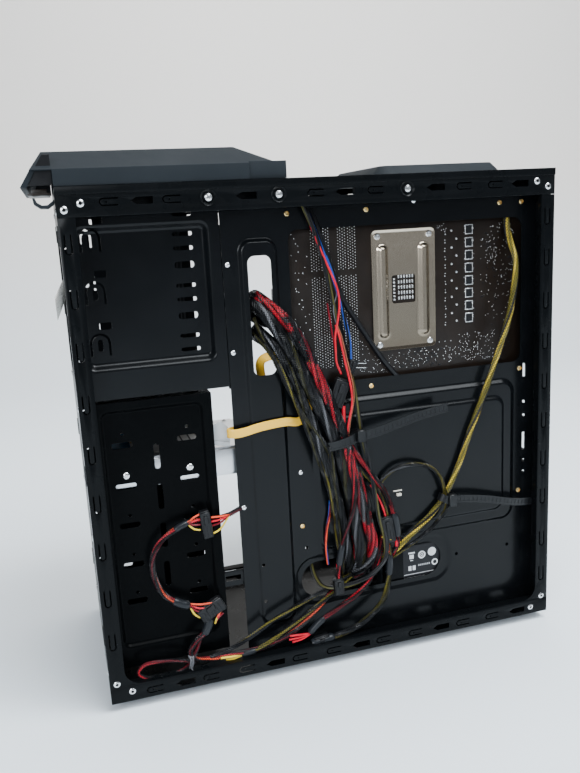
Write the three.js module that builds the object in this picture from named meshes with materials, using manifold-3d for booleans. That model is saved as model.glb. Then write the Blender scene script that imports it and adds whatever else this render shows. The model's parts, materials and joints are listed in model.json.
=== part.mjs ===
// A desktop computer tower with both side panels and its front bezel taken off.
// Units are millimetres. X runs across the case, Y from its front to its rear and Z up.
// Inside the group the right-hand side flanges face +X at x = 0, the steel front is at
// y = 0 and the underside of the base is at z = 0. The group is then moved so that the
// origin is under the middle of the whole object, where its feet rest.
import * as THREE from 'three';
import { mergeVertices } from 'three/addons/utils/BufferGeometryUtils.js';
import Module from 'manifold-3d';

const wasm = await Module();
wasm.setup();

// Driving dimensions.
const WIDTH = 200;
const DEPTH = 436;
const HEIGHT = 436.5;
const SHEET = 1;
const GAP = 0.3;
const FOOT_HEIGHT = 8;
const FOOT_RADIUS = 15;
const RAIL = 15;
const POST = 13.5;
const HEM = 9;
const LIP = 6;
const TOP_RAIL = 17;
const REAR_INSET = 3;
const MIDDLE_X = -WIDTH / 2;
const RIGHT_WALL_X = -20;
const TOP_RAIL_Z = HEIGHT - LIP - TOP_RAIL;
const REAR_Y = DEPTH - REAR_INSET;
const HEM_SPAN = [SHEET + GAP, REAR_Y - SHEET - GAP];

// The five and a quarter inch bays and the hard drive cage under them.
const BAY_WIDTH = 148;
const BAY_FRONT = 8;
const TRAY_FRONT = 128.6;
const BAY_BACK = TRAY_FRONT - 2 * GAP;
const BAY_PITCH = 42.3;
const BAY_BASE = 277;
const BAY_SKIRT = 265;
const BAY_LEFT_X = RIGHT_WALL_X - BAY_WIDTH - 6;
const CAGE_BACK = 110.8;
const CAGE_TOP = 262;
const CAGE_WIDTH = 108;
const CAGE_SLOT_LEVELS = [224, 187.5, 152, 115.5, 81];
const DRIVE = { width: 101.6, length: 147, height: 26, base: 184, front: 12 };

const BAY_FIELD = { y: [10, 119.5], z: [289, 406.5], corner: 5, depth: 5, slope: 6 };
const CAGE_FIELD = { y: [16, 103], z: [38, 256], corner: 6, depth: 3, slope: 4 };
const CAGE_FOOT = 20;
const CAGE_UPRIGHT_LEVELS = [212, 166, 120, 73];

// Fields pressed into the main board's tray, and the holes cut through it.
const TRAY_BAND = { y: [141.5, 177.5], z: [34, 390], corner: 10, depth: 3, slope: 3 };
const TRAY_FIELD = { y: [200, 408], z: [98, 243], corner: 12, depth: 3, slope: 4 };
const TRAY_STEP = { y: [212, 396], z: [110, 228], corner: 10, depth: 2, slope: 3 };
const TRAY_HOLES = [
  { y: [187, 415], z: [258, 394.7], corner: 9 },
  { y: [149.5, 170], z: [272, 375], corner: 6 },
  { y: [184, 328], z: [52.5, 88], corner: 17 },
  { y: [190, 262], z: [416, HEIGHT + 5], corner: 4 },
];

// The main board stands on pillars off its tray.
const BOARD = { back: -27.5, thick: 1.6, front: 176.4, rear: 420.5, bottom: 113.6, top: 418.6 };
const BOARD_FACE = BOARD.back - BOARD.thick;
const CPU = { y: 296.5, z: 335.5 };
const SLOT_PITCH = 20.32;
const FIRST_SLOT_Z = 245.4;
const MEMORY_ROWS = [213, 222.5, 238, 247.5];
const SLOT_COUNT = 7;
const SLOT_WINDOW = { x: [-137, -33], half: 6.5 };
const SHIELD = { x: [-71.5, -27], z: [259.5, 418.2] };
const CARD = { left: -138, right: -37, front: 205, rear: 428, fanX: -88, fanY: 295, fanRadius: 36 };

// Fans and the power supply.
const FAN = { size: 120, depth: 25, bore: 57, sweep: 55, hub: 20, blades: 7 };
const REAR_FAN = { x: -130, z: 350 };
const TOP_FAN_Y = 342;
const SUPPLY = { left: -174, right: -24, front: 272, bottom: 1.6, top: 87.6, wall: 1.5 };
const SUPPLY_FAN_Y = 350;
const SUPPLY_REAR = REAR_Y - SHEET - GAP;
const ROCKER = { x: -53, y: SUPPLY_REAR - 3, z: 33 };

// The control housing on top at the front.
const HOUSING = { front: -24, rear: 183.5, top: 464, ridge: 449.5, wall: 2.5, inset: 24 };
const BUTTON = { x: -100, y: 40, radius: 11 };
const RESET = { x: -72, y: 40, radius: 4 };
const STEM_FOOT = HEIGHT + 6;
const PORTS = { x: [-128, -72], y: [64, 110] };

const finishes = {
  steel: new THREE.MeshStandardMaterial({ color: 0x14171a, roughness: 0.45, metalness: 0.3 }),
  bareSteel: new THREE.MeshStandardMaterial({ color: 0xb9b5a8, roughness: 0.3, metalness: 1 }),
  aluminium: new THREE.MeshStandardMaterial({ color: 0xc4c6c8, roughness: 0.35, metalness: 1 }),
  plastic: new THREE.MeshStandardMaterial({ color: 0x17191c, roughness: 0.5, metalness: 0 }),
  gloss: new THREE.MeshStandardMaterial({ color: 0x101215, roughness: 0.2, metalness: 0 }),
  rubber: new THREE.MeshStandardMaterial({ color: 0x1a1a1a, roughness: 0.9, metalness: 0 }),
  board: new THREE.MeshStandardMaterial({ color: 0x2a1d14, roughness: 0.45, metalness: 0 }),
  sleeve: new THREE.MeshStandardMaterial({ color: 0x16161a, roughness: 0.8, metalness: 0 }),
  yellow: new THREE.MeshStandardMaterial({ color: 0xd99a1c, roughness: 0.45, metalness: 0 }),
  wires: new THREE.MeshStandardMaterial({ color: 0x1c2a5e, roughness: 0.5, metalness: 0 }),
};

const tower = new THREE.Group();

// Solids. A basis turns an extrusion's own Z to the axis that it is drawn along.
const unit = {
  x: new THREE.Vector3(1, 0, 0),
  y: new THREE.Vector3(0, 1, 0),
  z: new THREE.Vector3(0, 0, 1),
};
const facing = {
  x: new THREE.Matrix4().makeBasis(unit.y, unit.z, unit.x),
  y: new THREE.Matrix4().makeBasis(unit.x, unit.z, unit.y.clone().negate()),
  z: new THREE.Matrix4(),
};

function solid(geometry) {
  const bare = geometry.clone();
  bare.deleteAttribute('normal');
  bare.deleteAttribute('uv');
  const merged = mergeVertices(bare, 1e-4);
  const vertProperties = new Float32Array(merged.attributes.position.array);
  const triVerts = new Uint32Array(merged.index.array);
  return new wasm.Manifold(new wasm.Mesh({ numProp: 3, vertProperties, triVerts }));
}

function geometryOf(body) {
  const mesh = body.getMesh();
  const geometry = new THREE.BufferGeometry();
  geometry.setAttribute('position', new THREE.BufferAttribute(new Float32Array(mesh.vertProperties), 3));
  geometry.setIndex(new THREE.BufferAttribute(new Uint32Array(mesh.triVerts), 1));
  return geometry;
}

function join(first, ...others) {
  return others.reduce((whole, piece) => whole.add(piece), first);
}

function cut(first, ...others) {
  return others.reduce((whole, piece) => whole.subtract(piece), first);
}

function box(x, y, z) {
  const geometry = new THREE.BoxGeometry(x[1] - x[0], y[1] - y[0], z[1] - z[0]);
  geometry.translate((x[0] + x[1]) / 2, (y[0] + y[1]) / 2, (z[0] + z[1]) / 2);
  return solid(geometry);
}

function prism(shape, axis, from, to, segments = 4) {
  const depth = to - from;
  const options = { depth, bevelEnabled: false, curveSegments: segments };
  const geometry = new THREE.ExtrudeGeometry(shape, options);
  geometry.applyMatrix4(facing[axis]);
  geometry.translate(axis === 'x' ? from : 0, axis === 'y' ? to : 0, axis === 'z' ? from : 0);
  return solid(geometry);
}

function polygon(points) {
  return new THREE.Shape(points.map(([a, b]) => new THREE.Vector2(a, b)));
}

function roundedRectangle([a0, a1], [b0, b1], radius) {
  const shape = new THREE.Shape();
  shape.moveTo(a0 + radius, b0);
  shape.lineTo(a1 - radius, b0);
  shape.absarc(a1 - radius, b0 + radius, radius, -Math.PI / 2, 0, false);
  shape.lineTo(a1, b1 - radius);
  shape.absarc(a1 - radius, b1 - radius, radius, 0, Math.PI / 2, false);
  shape.lineTo(a0 + radius, b1);
  shape.absarc(a0 + radius, b1 - radius, radius, Math.PI / 2, Math.PI, false);
  shape.lineTo(a0, b0 + radius);
  shape.absarc(a0 + radius, b0 + radius, radius, Math.PI, Math.PI * 1.5, false);
  return shape;
}

function disc(a, b, radius) {
  const shape = new THREE.Shape();
  shape.absarc(a, b, radius, 0, Math.PI * 2, false);
  return shape;
}

// A flat-bottomed press into a sheet whose normal is X: wide at its base, narrower by
// slope at its depth, in direction +1 or -1 along X. It starts half a millimetre early.
function press({ y: [y0, y1], z: [z0, z1], corner, depth, slope }, base, direction) {
  const early = 0.5;
  const floor = roundedRectangle([y0 + slope, y1 - slope], [z0 + slope, z1 - slope], corner);
  const options = {
    depth: early,
    bevelEnabled: true,
    bevelThickness: depth,
    bevelSize: slope,
    bevelSegments: 1,
    curveSegments: 3,
  };
  const geometry = new THREE.ExtrudeGeometry(floor, options);
  geometry.applyMatrix4(facing.x);
  const both = solid(geometry);
  const far = 1000;
  const side = direction < 0 ? [-depth, early] : [0, early + depth];
  const half = both.intersect(box(side, [-far, far], [-far, far]));
  return half.translate([direction < 0 ? base : base - early, 0, 0]);
}

function emboss(sheet, field, face, direction) {
  const outer = direction < 0 ? face - SHEET : face;
  const inner = direction < 0 ? face : face - SHEET;
  const raised = sheet.add(press(field, outer, direction));
  return raised.subtract(press(field, inner, direction));
}

function mirrored(body) {
  return body.translate([WIDTH / 2, 0, 0]).mirror([1, 0, 0]).translate([-WIDTH / 2, 0, 0]);
}

function add(name, shape, finish, position = [0, 0, 0], rotation = [0, 0, 0]) {
  const geometry = shape.isBufferGeometry ? shape : geometryOf(shape);
  const mesh = new THREE.Mesh(geometry, finish);
  mesh.name = name;
  mesh.position.set(...position);
  mesh.rotation.set(...rotation);
  tower.add(mesh);
}

// Steel shell.
function basePan() {
  const left = -WIDTH;
  const profile = polygon([
    [left, 0], [0, 0], [0, RAIL], [-SHEET, RAIL], [-SHEET, SHEET],
    [left + SHEET, SHEET], [left + SHEET, RAIL], [left, RAIL],
  ]);
  const hem = box([-HEM, -SHEET / 2], HEM_SPAN, [RAIL - SHEET, RAIL]);
  const pan = join(prism(profile, 'y', 0, DEPTH), hem, mirrored(hem));
  const vent = { x: [-150, -50], first: 308, pitch: 14, width: 7, corner: 3.4, count: 7 };
  const vents = [];
  for (let i = 0; i < vent.count; i += 1) {
    const y = vent.first + i * vent.pitch;
    vents.push(prism(roundedRectangle(vent.x, [y, y + vent.width], vent.corner), 'z', -1, 2, 2));
  }
  return cut(pan, ...vents);
}

// The corner ear of a post, where it curves into the rail below it.
function postFlange(front, inward) {
  const ear = 14;
  const foot = RAIL + GAP;
  const head = TOP_RAIL_Z - GAP;
  const edge = front + inward * POST;
  const shape = new THREE.Shape();
  shape.moveTo(front, foot);
  shape.lineTo(edge + inward * ear, foot);
  shape.absarc(edge + inward * ear, foot + ear, ear, -Math.PI / 2, inward > 0 ? Math.PI : 0, inward > 0);
  shape.lineTo(edge, head);
  shape.lineTo(front, head);
  const face = prism(shape, 'x', -SHEET, 0);
  const fold = edge - inward * SHEET;
  const hem = box([-HEM, 0], [Math.min(edge, fold), Math.max(edge, fold)], [foot + ear, head]);
  return face.add(hem);
}

function frontPanel() {
  const plate = box([-WIDTH + SHEET + GAP, -SHEET - GAP], [0, SHEET], [SHEET + GAP, HEIGHT - SHEET - GAP]);
  const wings = box([-WIDTH, 0], [0, SHEET], [RAIL + GAP, TOP_RAIL_Z - GAP]);
  const flange = postFlange(0, 1);
  let panel = join(plate, wings, flange, mirrored(flange));
  const half = BAY_WIDTH / 2 - 3;
  const bays = roundedRectangle([MIDDLE_X - half, MIDDLE_X + half], [BAY_BASE, BAY_BASE + 3 * BAY_PITCH], 3);
  const through = [-1, 2];
  panel = cut(panel, prism(bays, 'y', ...through));
  const vent = { left: MIDDLE_X - 54, width: 32, pitchX: 38, columns: 3 };
  const tier = { z: 60, height: 12, pitch: 22, count: 8 };
  for (let row = 0; row < tier.count; row += 1) {
    for (let column = 0; column < vent.columns; column += 1) {
      const x = vent.left + column * vent.pitchX;
      const z = tier.z + row * tier.pitch;
      panel = cut(panel, box([x, x + vent.width], through, [z, z + tier.height]));
    }
  }
  return panel;
}

function rearPanel() {
  const [near, far] = [REAR_Y - SHEET, REAR_Y];
  const plate = box([-WIDTH + SHEET + GAP, -SHEET - GAP], [near, far], [SHEET + GAP, HEIGHT - SHEET - GAP]);
  const wings = box([-WIDTH, 0], [near, far], [RAIL + GAP, TOP_RAIL_Z - GAP]);
  const flange = postFlange(DEPTH, -1);
  const panel = join(plate, wings, flange, mirrored(flange));
  const through = [near - 1, far + 1];
  const openings = [
    box(SHIELD.x, through, SHIELD.z),
    box([SUPPLY.left + 4, SUPPLY.right - 4], through, [6, 84]),
    prism(disc(REAR_FAN.x, REAR_FAN.z, FAN.bore), 'y', ...through, 7),
  ];
  for (let slot = 0; slot < SLOT_COUNT; slot += 1) {
    const z = FIRST_SLOT_Z - slot * SLOT_PITCH;
    openings.push(box(SLOT_WINDOW.x, through, [z - SLOT_WINDOW.half, z + SLOT_WINDOW.half]));
  }
  return cut(panel, ...openings);
}

function topPanel() {
  const half = [
    [0, TOP_RAIL_Z], [0, HEIGHT - LIP], [SHEET, HEIGHT - LIP], [SHEET, HEIGHT],
  ];
  const inside = [
    [-SHEET, HEIGHT - SHEET], [-SHEET, TOP_RAIL_Z],
  ];
  const flip = ([x, z]) => [-WIDTH - x, z];
  const outline = [...half, ...half.map(flip).reverse(), ...inside.map(flip).reverse(), ...inside];
  const hem = box([-HEM, -SHEET / 2], HEM_SPAN, [TOP_RAIL_Z, TOP_RAIL_Z + SHEET]);
  const panel = join(prism(polygon(outline), 'y', 0, DEPTH), hem, mirrored(hem));
  const top = [HEIGHT - 3, HEIGHT + 3];
  return cut(panel,
    prism(disc(MIDDLE_X, TOP_FAN_Y, FAN.bore), 'z', ...top, 7),
    prism(roundedRectangle([-150, -50], [20, 150], 6), 'z', ...top));
}

function trayPanel() {
  const x = [RIGHT_WALL_X - SHEET, RIGHT_WALL_X];
  const sheet = box(x, [TRAY_FRONT, REAR_Y - SHEET - GAP], [SHEET + GAP, HEIGHT - SHEET - GAP]);
  let tray = emboss(sheet, TRAY_BAND, RIGHT_WALL_X, 1);
  tray = emboss(tray, TRAY_FIELD, RIGHT_WALL_X, 1);
  tray = emboss(tray, TRAY_STEP, RIGHT_WALL_X + TRAY_FIELD.depth, 1);
  const reach = 10;
  const holes = TRAY_HOLES.map(({ y, z, corner }) =>
    prism(roundedRectangle(y, z, corner), 'x', RIGHT_WALL_X - reach, RIGHT_WALL_X + reach));
  return cut(tray, ...holes);
}

// Bay walls. The left one mirrors the right one about the bays, not about the case.
function bayWall(face) {
  const sheet = box([face - SHEET, face], [BAY_FRONT, BAY_BACK], [BAY_SKIRT, HEIGHT - SHEET - GAP]);
  const wall = emboss(sheet, BAY_FIELD, face, -1);
  const slots = [];
  const through = [face - BAY_FIELD.depth - 4, face + 2];
  for (let bay = 0; bay < 3; bay += 1) {
    const z = BAY_BASE + 19 + bay * BAY_PITCH;
    for (const rise of [0, 11, 24]) {
      slots.push(box(through, [89, 106], [z + rise - 2, z + rise + 2]));
    }
    slots.push(box(through, [24, 33], [z + 9, z + 15]));
  }
  return cut(wall, ...slots);
}

function bayFloor() {
  const x = [BAY_LEFT_X + SHEET + BAY_FIELD.depth + GAP, RIGHT_WALL_X - SHEET - BAY_FIELD.depth - 3 * GAP];
  return box(x, [BAY_FRONT, BAY_FIELD.y[1]], [BAY_SKIRT + SHEET, BAY_SKIRT + 2 * SHEET]);
}

function driveCage() {
  const outer = [RIGHT_WALL_X - CAGE_WIDTH, RIGHT_WALL_X];
  const inner = [outer[0] + SHEET, outer[1] - SHEET];
  const ring = box(outer, [BAY_FRONT, CAGE_BACK], [CAGE_FOOT, CAGE_TOP]);
  const hollow = box(inner, [BAY_FRONT - 1, CAGE_BACK + 1], [CAGE_FOOT + SHEET, CAGE_TOP - SHEET]);
  const cage = emboss(ring.subtract(hollow), CAGE_FIELD, RIGHT_WALL_X, -1);
  const slots = [];
  const through = [outer[0] - 2, outer[1] + 2];
  for (const z of CAGE_SLOT_LEVELS) {
    slots.push(box(through, [24, 41], [z - 2.6, z + 2.6]));
    slots.push(box(through, [79, 95.5], [z - 2.6, z + 2.6]));
  }
  for (const z of CAGE_UPRIGHT_LEVELS) {
    slots.push(box(through, [58, 63], [z - 10, z + 10]));
  }
  return cut(cage, ...slots);
}

// Fans. Each is built with its axis along Z, its outlet face at z = 0.
function fanFrame() {
  const half = FAN.size / 2;
  const hole = disc(0, 0, FAN.bore);
  const outer = roundedRectangle([-half, half], [-half, half], 6);
  const body = cut(prism(outer, 'z', 0, FAN.depth, 2), prism(hole, 'z', -1, FAN.depth + 1, 8));
  const waist = cut(
    prism(roundedRectangle([-half - 1, half + 1], [-half - 1, half + 1], 2), 'z', 4, FAN.depth - 4, 1),
    prism(disc(0, 0, FAN.bore + 1.5), 'z', 3, FAN.depth - 3, 8),
  );
  const hub = prism(disc(0, 0, FAN.hub), 'z', 0.3, 5, 5);
  const arms = [0, 1, 2, 3].map((i) => {
    const arm = box([FAN.hub - 3, FAN.bore + 1], [-2, 2], [0.3, 3.5]);
    return arm.rotate([0, 0, 45 + i * 90]);
  });
  return join(body.subtract(waist), hub, ...arms);
}

function fanRotor(sweep = FAN.sweep, depth = FAN.depth, hub = FAN.hub, blades = FAN.blades) {
  const [low, high] = [0.25 * depth, depth - 1.5];
  const cap = prism(disc(0, 0, hub), 'z', low, high, 5);
  const chord = (2 * Math.PI * sweep) / blades * 0.55;
  const span = sweep - hub + 4;
  const pitch = Math.atan2(high - low - 3, chord);
  const middle = (low + high) / 2;
  const wings = [];
  for (let i = 0; i < blades; i += 1) {
    const blade = box([hub - 4, hub - 4 + span], [-chord / 2, chord / 2], [-0.8, 0.8]);
    wings.push(blade.rotate([THREE.MathUtils.radToDeg(pitch), 0, 0]).translate([0, 0, middle])
      .rotate([0, 0, (360 * i) / blades]));
  }
  const swept = prism(disc(0, 0, sweep), 'z', low, high, 8);
  return join(cap, ...wings).intersect(swept);
}

const REAR_FAN_TURN = [-Math.PI / 2, 0, 0];

// Main board and what stands on it. Everything on its face points to -X.
function onBoard(y, z, height) {
  return box([BOARD_FACE - height, BOARD_FACE + 0.5], y, z);
}

function mainBoard() {
  const plate = box([BOARD_FACE, BOARD.back], [BOARD.front, BOARD.rear], [BOARD.bottom, BOARD.top]);
  const memory = MEMORY_ROWS.map((y) => onBoard([y - 3, y + 3], [265, 405], 8));
  const slots = [0, 2, 4].map((i) => {
    const z = FIRST_SLOT_Z - i * SLOT_PITCH;
    return onBoard([285, 375], [z - 3.7, z + 3.7], i === 0 ? 7 : 11);
  });
  const small = [1, 3].map((i) => {
    const z = FIRST_SLOT_Z - i * SLOT_PITCH;
    return onBoard([345, 372], [z - 3.7, z + 3.7], 8);
  });
  const power = onBoard([178.5, 189], [290, 343], 24);
  const cpuPower = onBoard([378, 388], [396, 414], 10);
  const driveSocket = onBoard([176.4, 190], [172, 188], 8);
  const frontHeader = onBoard([188, 202], [113.6, 120], 8);
  return join(plate, ...memory, ...slots, ...small, power, cpuPower, driveSocket, frontHeader);
}

function coolerFins() {
  const fins = [];
  const finCount = 15;
  const [near, far] = [-72, -170];
  const pitch = (far - near) / (finCount - 1);
  for (let i = 0; i < finCount; i += 1) {
    const x = near + i * pitch;
    fins.push(box([x - 0.5, x + 0.5], [CPU.y - 25, CPU.y + 25], [CPU.z - 58, CPU.z + 58]));
  }
  const base = box([-48, BOARD_FACE - 8.4], [CPU.y - 20, CPU.y + 20], [CPU.z - 20, CPU.z + 20]);
  const pipes = [];
  for (const side of [-1, 1]) {
    for (const y of [CPU.y - 9, CPU.y + 9]) {
      const z = CPU.z + side * 38;
      pipes.push(prism(disc(y, z, 3), 'x', far - 3, -58, 2));
      const bend = new THREE.CatmullRomCurve3([
        new THREE.Vector3(-44, y, CPU.z + side * 8), new THREE.Vector3(-44, y, CPU.z + side * 24),
        new THREE.Vector3(-50, y, CPU.z + side * 35), new THREE.Vector3(-60, y, z),
      ]);
      const options = { steps: 6, curveSegments: 2, extrudePath: bend };
      pipes.push(solid(new THREE.ExtrudeGeometry(disc(0, 0, 3), options)));
    }
  }
  return join(base, ...fins, ...pipes);
}

// Cords: the middle line of each, as points chosen along the way that it is laid.
function cord(points, radius, steps) {
  const path = new THREE.CatmullRomCurve3(points.map((p) => new THREE.Vector3(...p)), false, 'centripetal');
  const options = { steps, curveSegments: 2, extrudePath: path };
  return new THREE.ExtrudeGeometry(disc(0, 0, radius), options);
}

function controlHousing(inset) {
  const { front, rear, top, ridge } = HOUSING;
  const foot = HEIGHT + GAP - (inset > 0 ? 2 : 0);
  const side = polygon([
    [front + 1.5 * inset, foot],
    [front + 17.5 + 0.6 * inset, top - inset],
    [145 - 0.3 * inset, top - inset],
    [172 - 0.5 * inset, ridge + 1 - inset],
    [rear - inset, ridge + 1 - inset],
    [rear - inset, foot],
  ]);
  const shoulder = HOUSING.inset + 0.4 * inset;
  const across = polygon([
    [-inset, foot],
    [-inset, ridge - 0.6 * inset],
    [-shoulder, top - inset],
    [-WIDTH + shoulder, top - inset],
    [-WIDTH + inset, ridge - 0.6 * inset],
    [-WIDTH + inset, foot],
  ]);
  return prism(side, 'x', -WIDTH, 0).intersect(prism(across, 'y', front, rear));
}

function topHousing() {
  const tail = box([-2, 1], [152, 200], [HEIGHT, HOUSING.top]);
  const mouth = box([-HOUSING.wall - 1, 1], [HOUSING.front - 1, 0], [HEIGHT, HOUSING.ridge - 0.4]);
  const deck = [HOUSING.top - 5, HOUSING.top + 5];
  return cut(controlHousing(0), controlHousing(HOUSING.wall), tail, mirrored(tail), mouth, mirrored(mouth),
    prism(disc(BUTTON.x, BUTTON.y, BUTTON.radius + 0.5), 'z', ...deck, 7),
    prism(disc(RESET.x, RESET.y, RESET.radius + 0.4), 'z', ...deck, 5),
    box(PORTS.x, PORTS.y, deck));
}

function button({ x, y, radius }, lowest) {
  const top = HOUSING.top + 0.8;
  const cap = prism(disc(x, y, radius), 'z', top - 4, top, 7);
  const stem = prism(disc(x, y, radius * 0.35), 'z', lowest, top - 2, 3);
  return join(cap, stem);
}

function portBlock() {
  const x = [PORTS.x[0] + GAP, PORTS.x[1] - GAP];
  const y = [PORTS.y[0] + GAP, PORTS.y[1] - GAP];
  const top = HOUSING.top - 0.5;
  const body = box(x, y, [HEIGHT + 4, top]);
  const sockets = [];
  for (const side of [-1, 1]) {
    const middle = MIDDLE_X + side * 13;
    sockets.push(box([middle - 6.5, middle + 6.5], [70, 75.4], [top - 9, top + 1]));
    sockets.push(box([middle - 6.5, middle + 6.5], [82, 87.4], [top - 9, top + 1]));
    sockets.push(prism(disc(middle, 99, 3), 'z', top - 9, top + 1, 3));
  }
  return cut(body, ...sockets);
}

function frontBoard() {
  const plate = box([-62, -7], [-19, -2.5], [431, 432.6]);
  const header = box([-30, -9], [-16, -5], [432.5, 435.6]);
  return join(plate, header);
}

function bezelLatch() {
  const profile = polygon([
    [-GAP, 427.5], [-GAP, 424.5], [-5, 421.2], [-11, 421.4], [-15.5, 424.6], [-16.2, 429],
    [-14.4, 429], [-13, 425.6], [-9.5, 423.4], [-5.5, 423.6],
  ]);
  return prism(profile, 'x', -34, -3);
}

function bentTab() {
  const profile = polygon([[-GAP, 366], [-8.4, 352], [-8, 333], [-2.4, 345], [-GAP, 350]]);
  return prism(profile, 'x', -31, -30);
}

// A low dome over the top fan's hole: a shell with sloping sides, and bars across it.
function ventDome(low, high, half) {
  const slope = 9;
  const crown = roundedRectangle(
    [MIDDLE_X - half + slope, MIDDLE_X + half - slope],
    [TOP_FAN_Y - half + slope, TOP_FAN_Y + half - slope],
    8,
  );
  const rise = high - low;
  const options = {
    depth: rise,
    bevelEnabled: true,
    bevelThickness: rise,
    bevelSize: slope,
    bevelSegments: 1,
    curveSegments: 3,
  };
  const upper = box([-WIDTH, 0], [0, DEPTH], [rise, 3 * rise]);
  const dome = solid(new THREE.ExtrudeGeometry(crown, options)).intersect(upper);
  return dome.translate([0, 0, low - rise]);
}

function ventGrille() {
  const [low, high, half, wall] = [HEIGHT + GAP, 446, 66, 2];
  const shell = ventDome(low, high, half).subtract(ventDome(low - wall, high - wall, half - wall));
  const hole = prism(disc(MIDDLE_X, TOP_FAN_Y, FAN.bore - 4), 'z', low - 1, high + 1, 8);
  const bars = [];
  for (let dx = -40; dx <= 40; dx += 16) {
    const x = MIDDLE_X + dx;
    const reach = FAN.bore - 2;
    bars.push(box([x - 1, x + 1], [TOP_FAN_Y - reach, TOP_FAN_Y + reach], [high - 2, high - 0.4]));
  }
  return join(shell.subtract(hole), ...bars);
}

// Main board parts.
function backplate() {
  const x = [BOARD.back + GAP, BOARD.back + GAP + 1.4];
  const plate = prism(roundedRectangle([265.5, 328], [281, 390], 4), 'x', ...x, 2);
  const ribs = [275.5, 316.5].map((y) =>
    prism(roundedRectangle([y - 5.5, y + 5.5], [292, 377], 5.4), 'x', x[0], x[1] + 2.6, 3));
  const corners = [[270.5, 286.5], [323, 286.5], [270.5, 384.5], [323, 384.5]];
  const bosses = corners.map(([y, z]) => prism(disc(y, z, 3), 'x', x[0], x[1] + 1.2, 3));
  const window = box([x[0] - 1, x[1] + 5], [284, 309.5], [323, 349]);
  return cut(join(plate, ...ribs, ...bosses), window);
}

function memoryModule(y) {
  const z = [268.5, 401.5];
  const stick = box([-66, BOARD_FACE - 8 - GAP], [y - 0.7, y + 0.7], z);
  const spreader = box([-64, -41], [y - 2.6, y + 2.6], z);
  return join(stick, spreader);
}

function chipsetHeatsink() {
  const low = BOARD_FACE - GAP;
  const base = box([low - 3, low], [225, 265], [150, 190]);
  const fins = [];
  for (let y = 226; y < 265; y += 7) {
    fins.push(box([low - 14, low - 1], [y, y + 2.2], [150, 190]));
  }
  return join(base, ...fins);
}

// The sockets at the rear edge of the board: span along Z, then height off the board.
const REAR_PORTS = [
  { z: [399, 414], height: 34 }, { z: [376, 392], height: 30 }, { z: [352, 369], height: 32 },
  { z: [325, 345], height: 30 }, { z: [302, 318], height: 34 }, { z: [266, 294], height: 36 },
];

function rearPorts() {
  const face = BOARD_FACE - GAP;
  const base = box([face - 1.5, face], [406, 419], [266, 414]);
  const blocks = REAR_PORTS.map(({ z, height }) => box([face - height, face], [406, REAR_Y + 1.4], z));
  return join(base, ...blocks);
}

function portShield() {
  const plate = box([-71.2, -27.3], [REAR_Y - SHEET, REAR_Y], [259.8, 417.9]);
  const face = BOARD_FACE - GAP;
  const holes = REAR_PORTS.map(({ z, height }) =>
    box([face - height - 0.5, face + 0.5], [REAR_Y - 3, REAR_Y + 3], [z[0] - 0.5, z[1] + 0.5]));
  return cut(plate, ...holes);
}

// Cards. A cover and a bracket share their blade and the ear bent at its far end.
function slotBlade(top, slots) {
  const [near, far] = [REAR_Y - 2 * SHEET - GAP, REAR_Y - SHEET - GAP];
  const z = [FIRST_SLOT_Z - (top + slots - 1) * SLOT_PITCH - 9.2, FIRST_SLOT_Z - top * SLOT_PITCH + 9.2];
  const blade = box([-141, -31], [near, far], z);
  const ear = box([-142, -140.5], [near - 11, far], z);
  return join(blade, ear);
}

function cardBoard() {
  return box([CARD.left, CARD.right], [CARD.front, CARD.rear], [FIRST_SLOT_Z - 0.8, FIRST_SLOT_Z + 0.8]);
}

function cardShroud() {
  const top = FIRST_SLOT_Z - 0.8 - GAP;
  const z = [top - 30, top];
  const outer = box([CARD.left + 3, CARD.right - 6], [CARD.front + 2, CARD.rear - 4], z);
  const inner = box([CARD.left + 5, CARD.right - 8], [CARD.front + 4, CARD.rear + 1], [z[0] + 2, z[1] - 2]);
  const hole = prism(disc(CARD.fanX, CARD.fanY, CARD.fanRadius + 1.5), 'z', z[0] - 1, z[0] + 5, 7);
  return cut(outer, inner, hole);
}

function powerSupplyCase() {
  const { left, right, front, bottom, top, wall } = SUPPLY;
  const rear = SUPPLY_REAR;
  const outer = box([left, right], [front, rear], [bottom, top]);
  const inner = box([left + wall, right - wall], [front + wall, rear - wall], [bottom + wall, top - wall]);
  const fan = prism(disc(MIDDLE_X, SUPPLY_FAN_Y, 61), 'z', bottom - 1, bottom + 3, 8);
  const inlet = box([-68, -38], [rear - 5, rear + 5], [50, 74]);
  const rocker = box([-64, -42], [rear - 5, rear + 5], [26, 40]);
  const outlet = box([-74, -36], [front - 5, front + 5], [24, 84]);
  const vents = [];
  for (let z = 14; z < 75; z += 11) {
    vents.push(box([-165, -85], [rear - 5, rear + 5], [z, z + 6]));
  }
  return cut(outer, inner, fan, inlet, rocker, outlet, ...vents);
}

function powerInlet() {
  const rear = SUPPLY_REAR;
  const body = box([-68 + GAP, -38 - GAP], [rear - 18, rear + 1.5], [50 + GAP, 74 - GAP]);
  const mouth = box([-65, -41], [rear - 14, rear + 5], [53, 71]);
  const pins = [-60, -53, -46].map((x) => box([x - 1, x + 1], [rear - 15, rear - 2], [60, 65]));
  return join(cut(body, mouth), ...pins);
}

function powerRocker() {
  const { x, y, z } = ROCKER;
  const profile = polygon([
    [x - 9.5, y - 4],
    [x + 9.5, y - 4],
    [x + 9.5, y + 3.4],
    [x, y + 4],
    [x - 9.5, y + 6.6],
  ]);
  return prism(profile, 'z', z - 6, z + 6);
}

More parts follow.
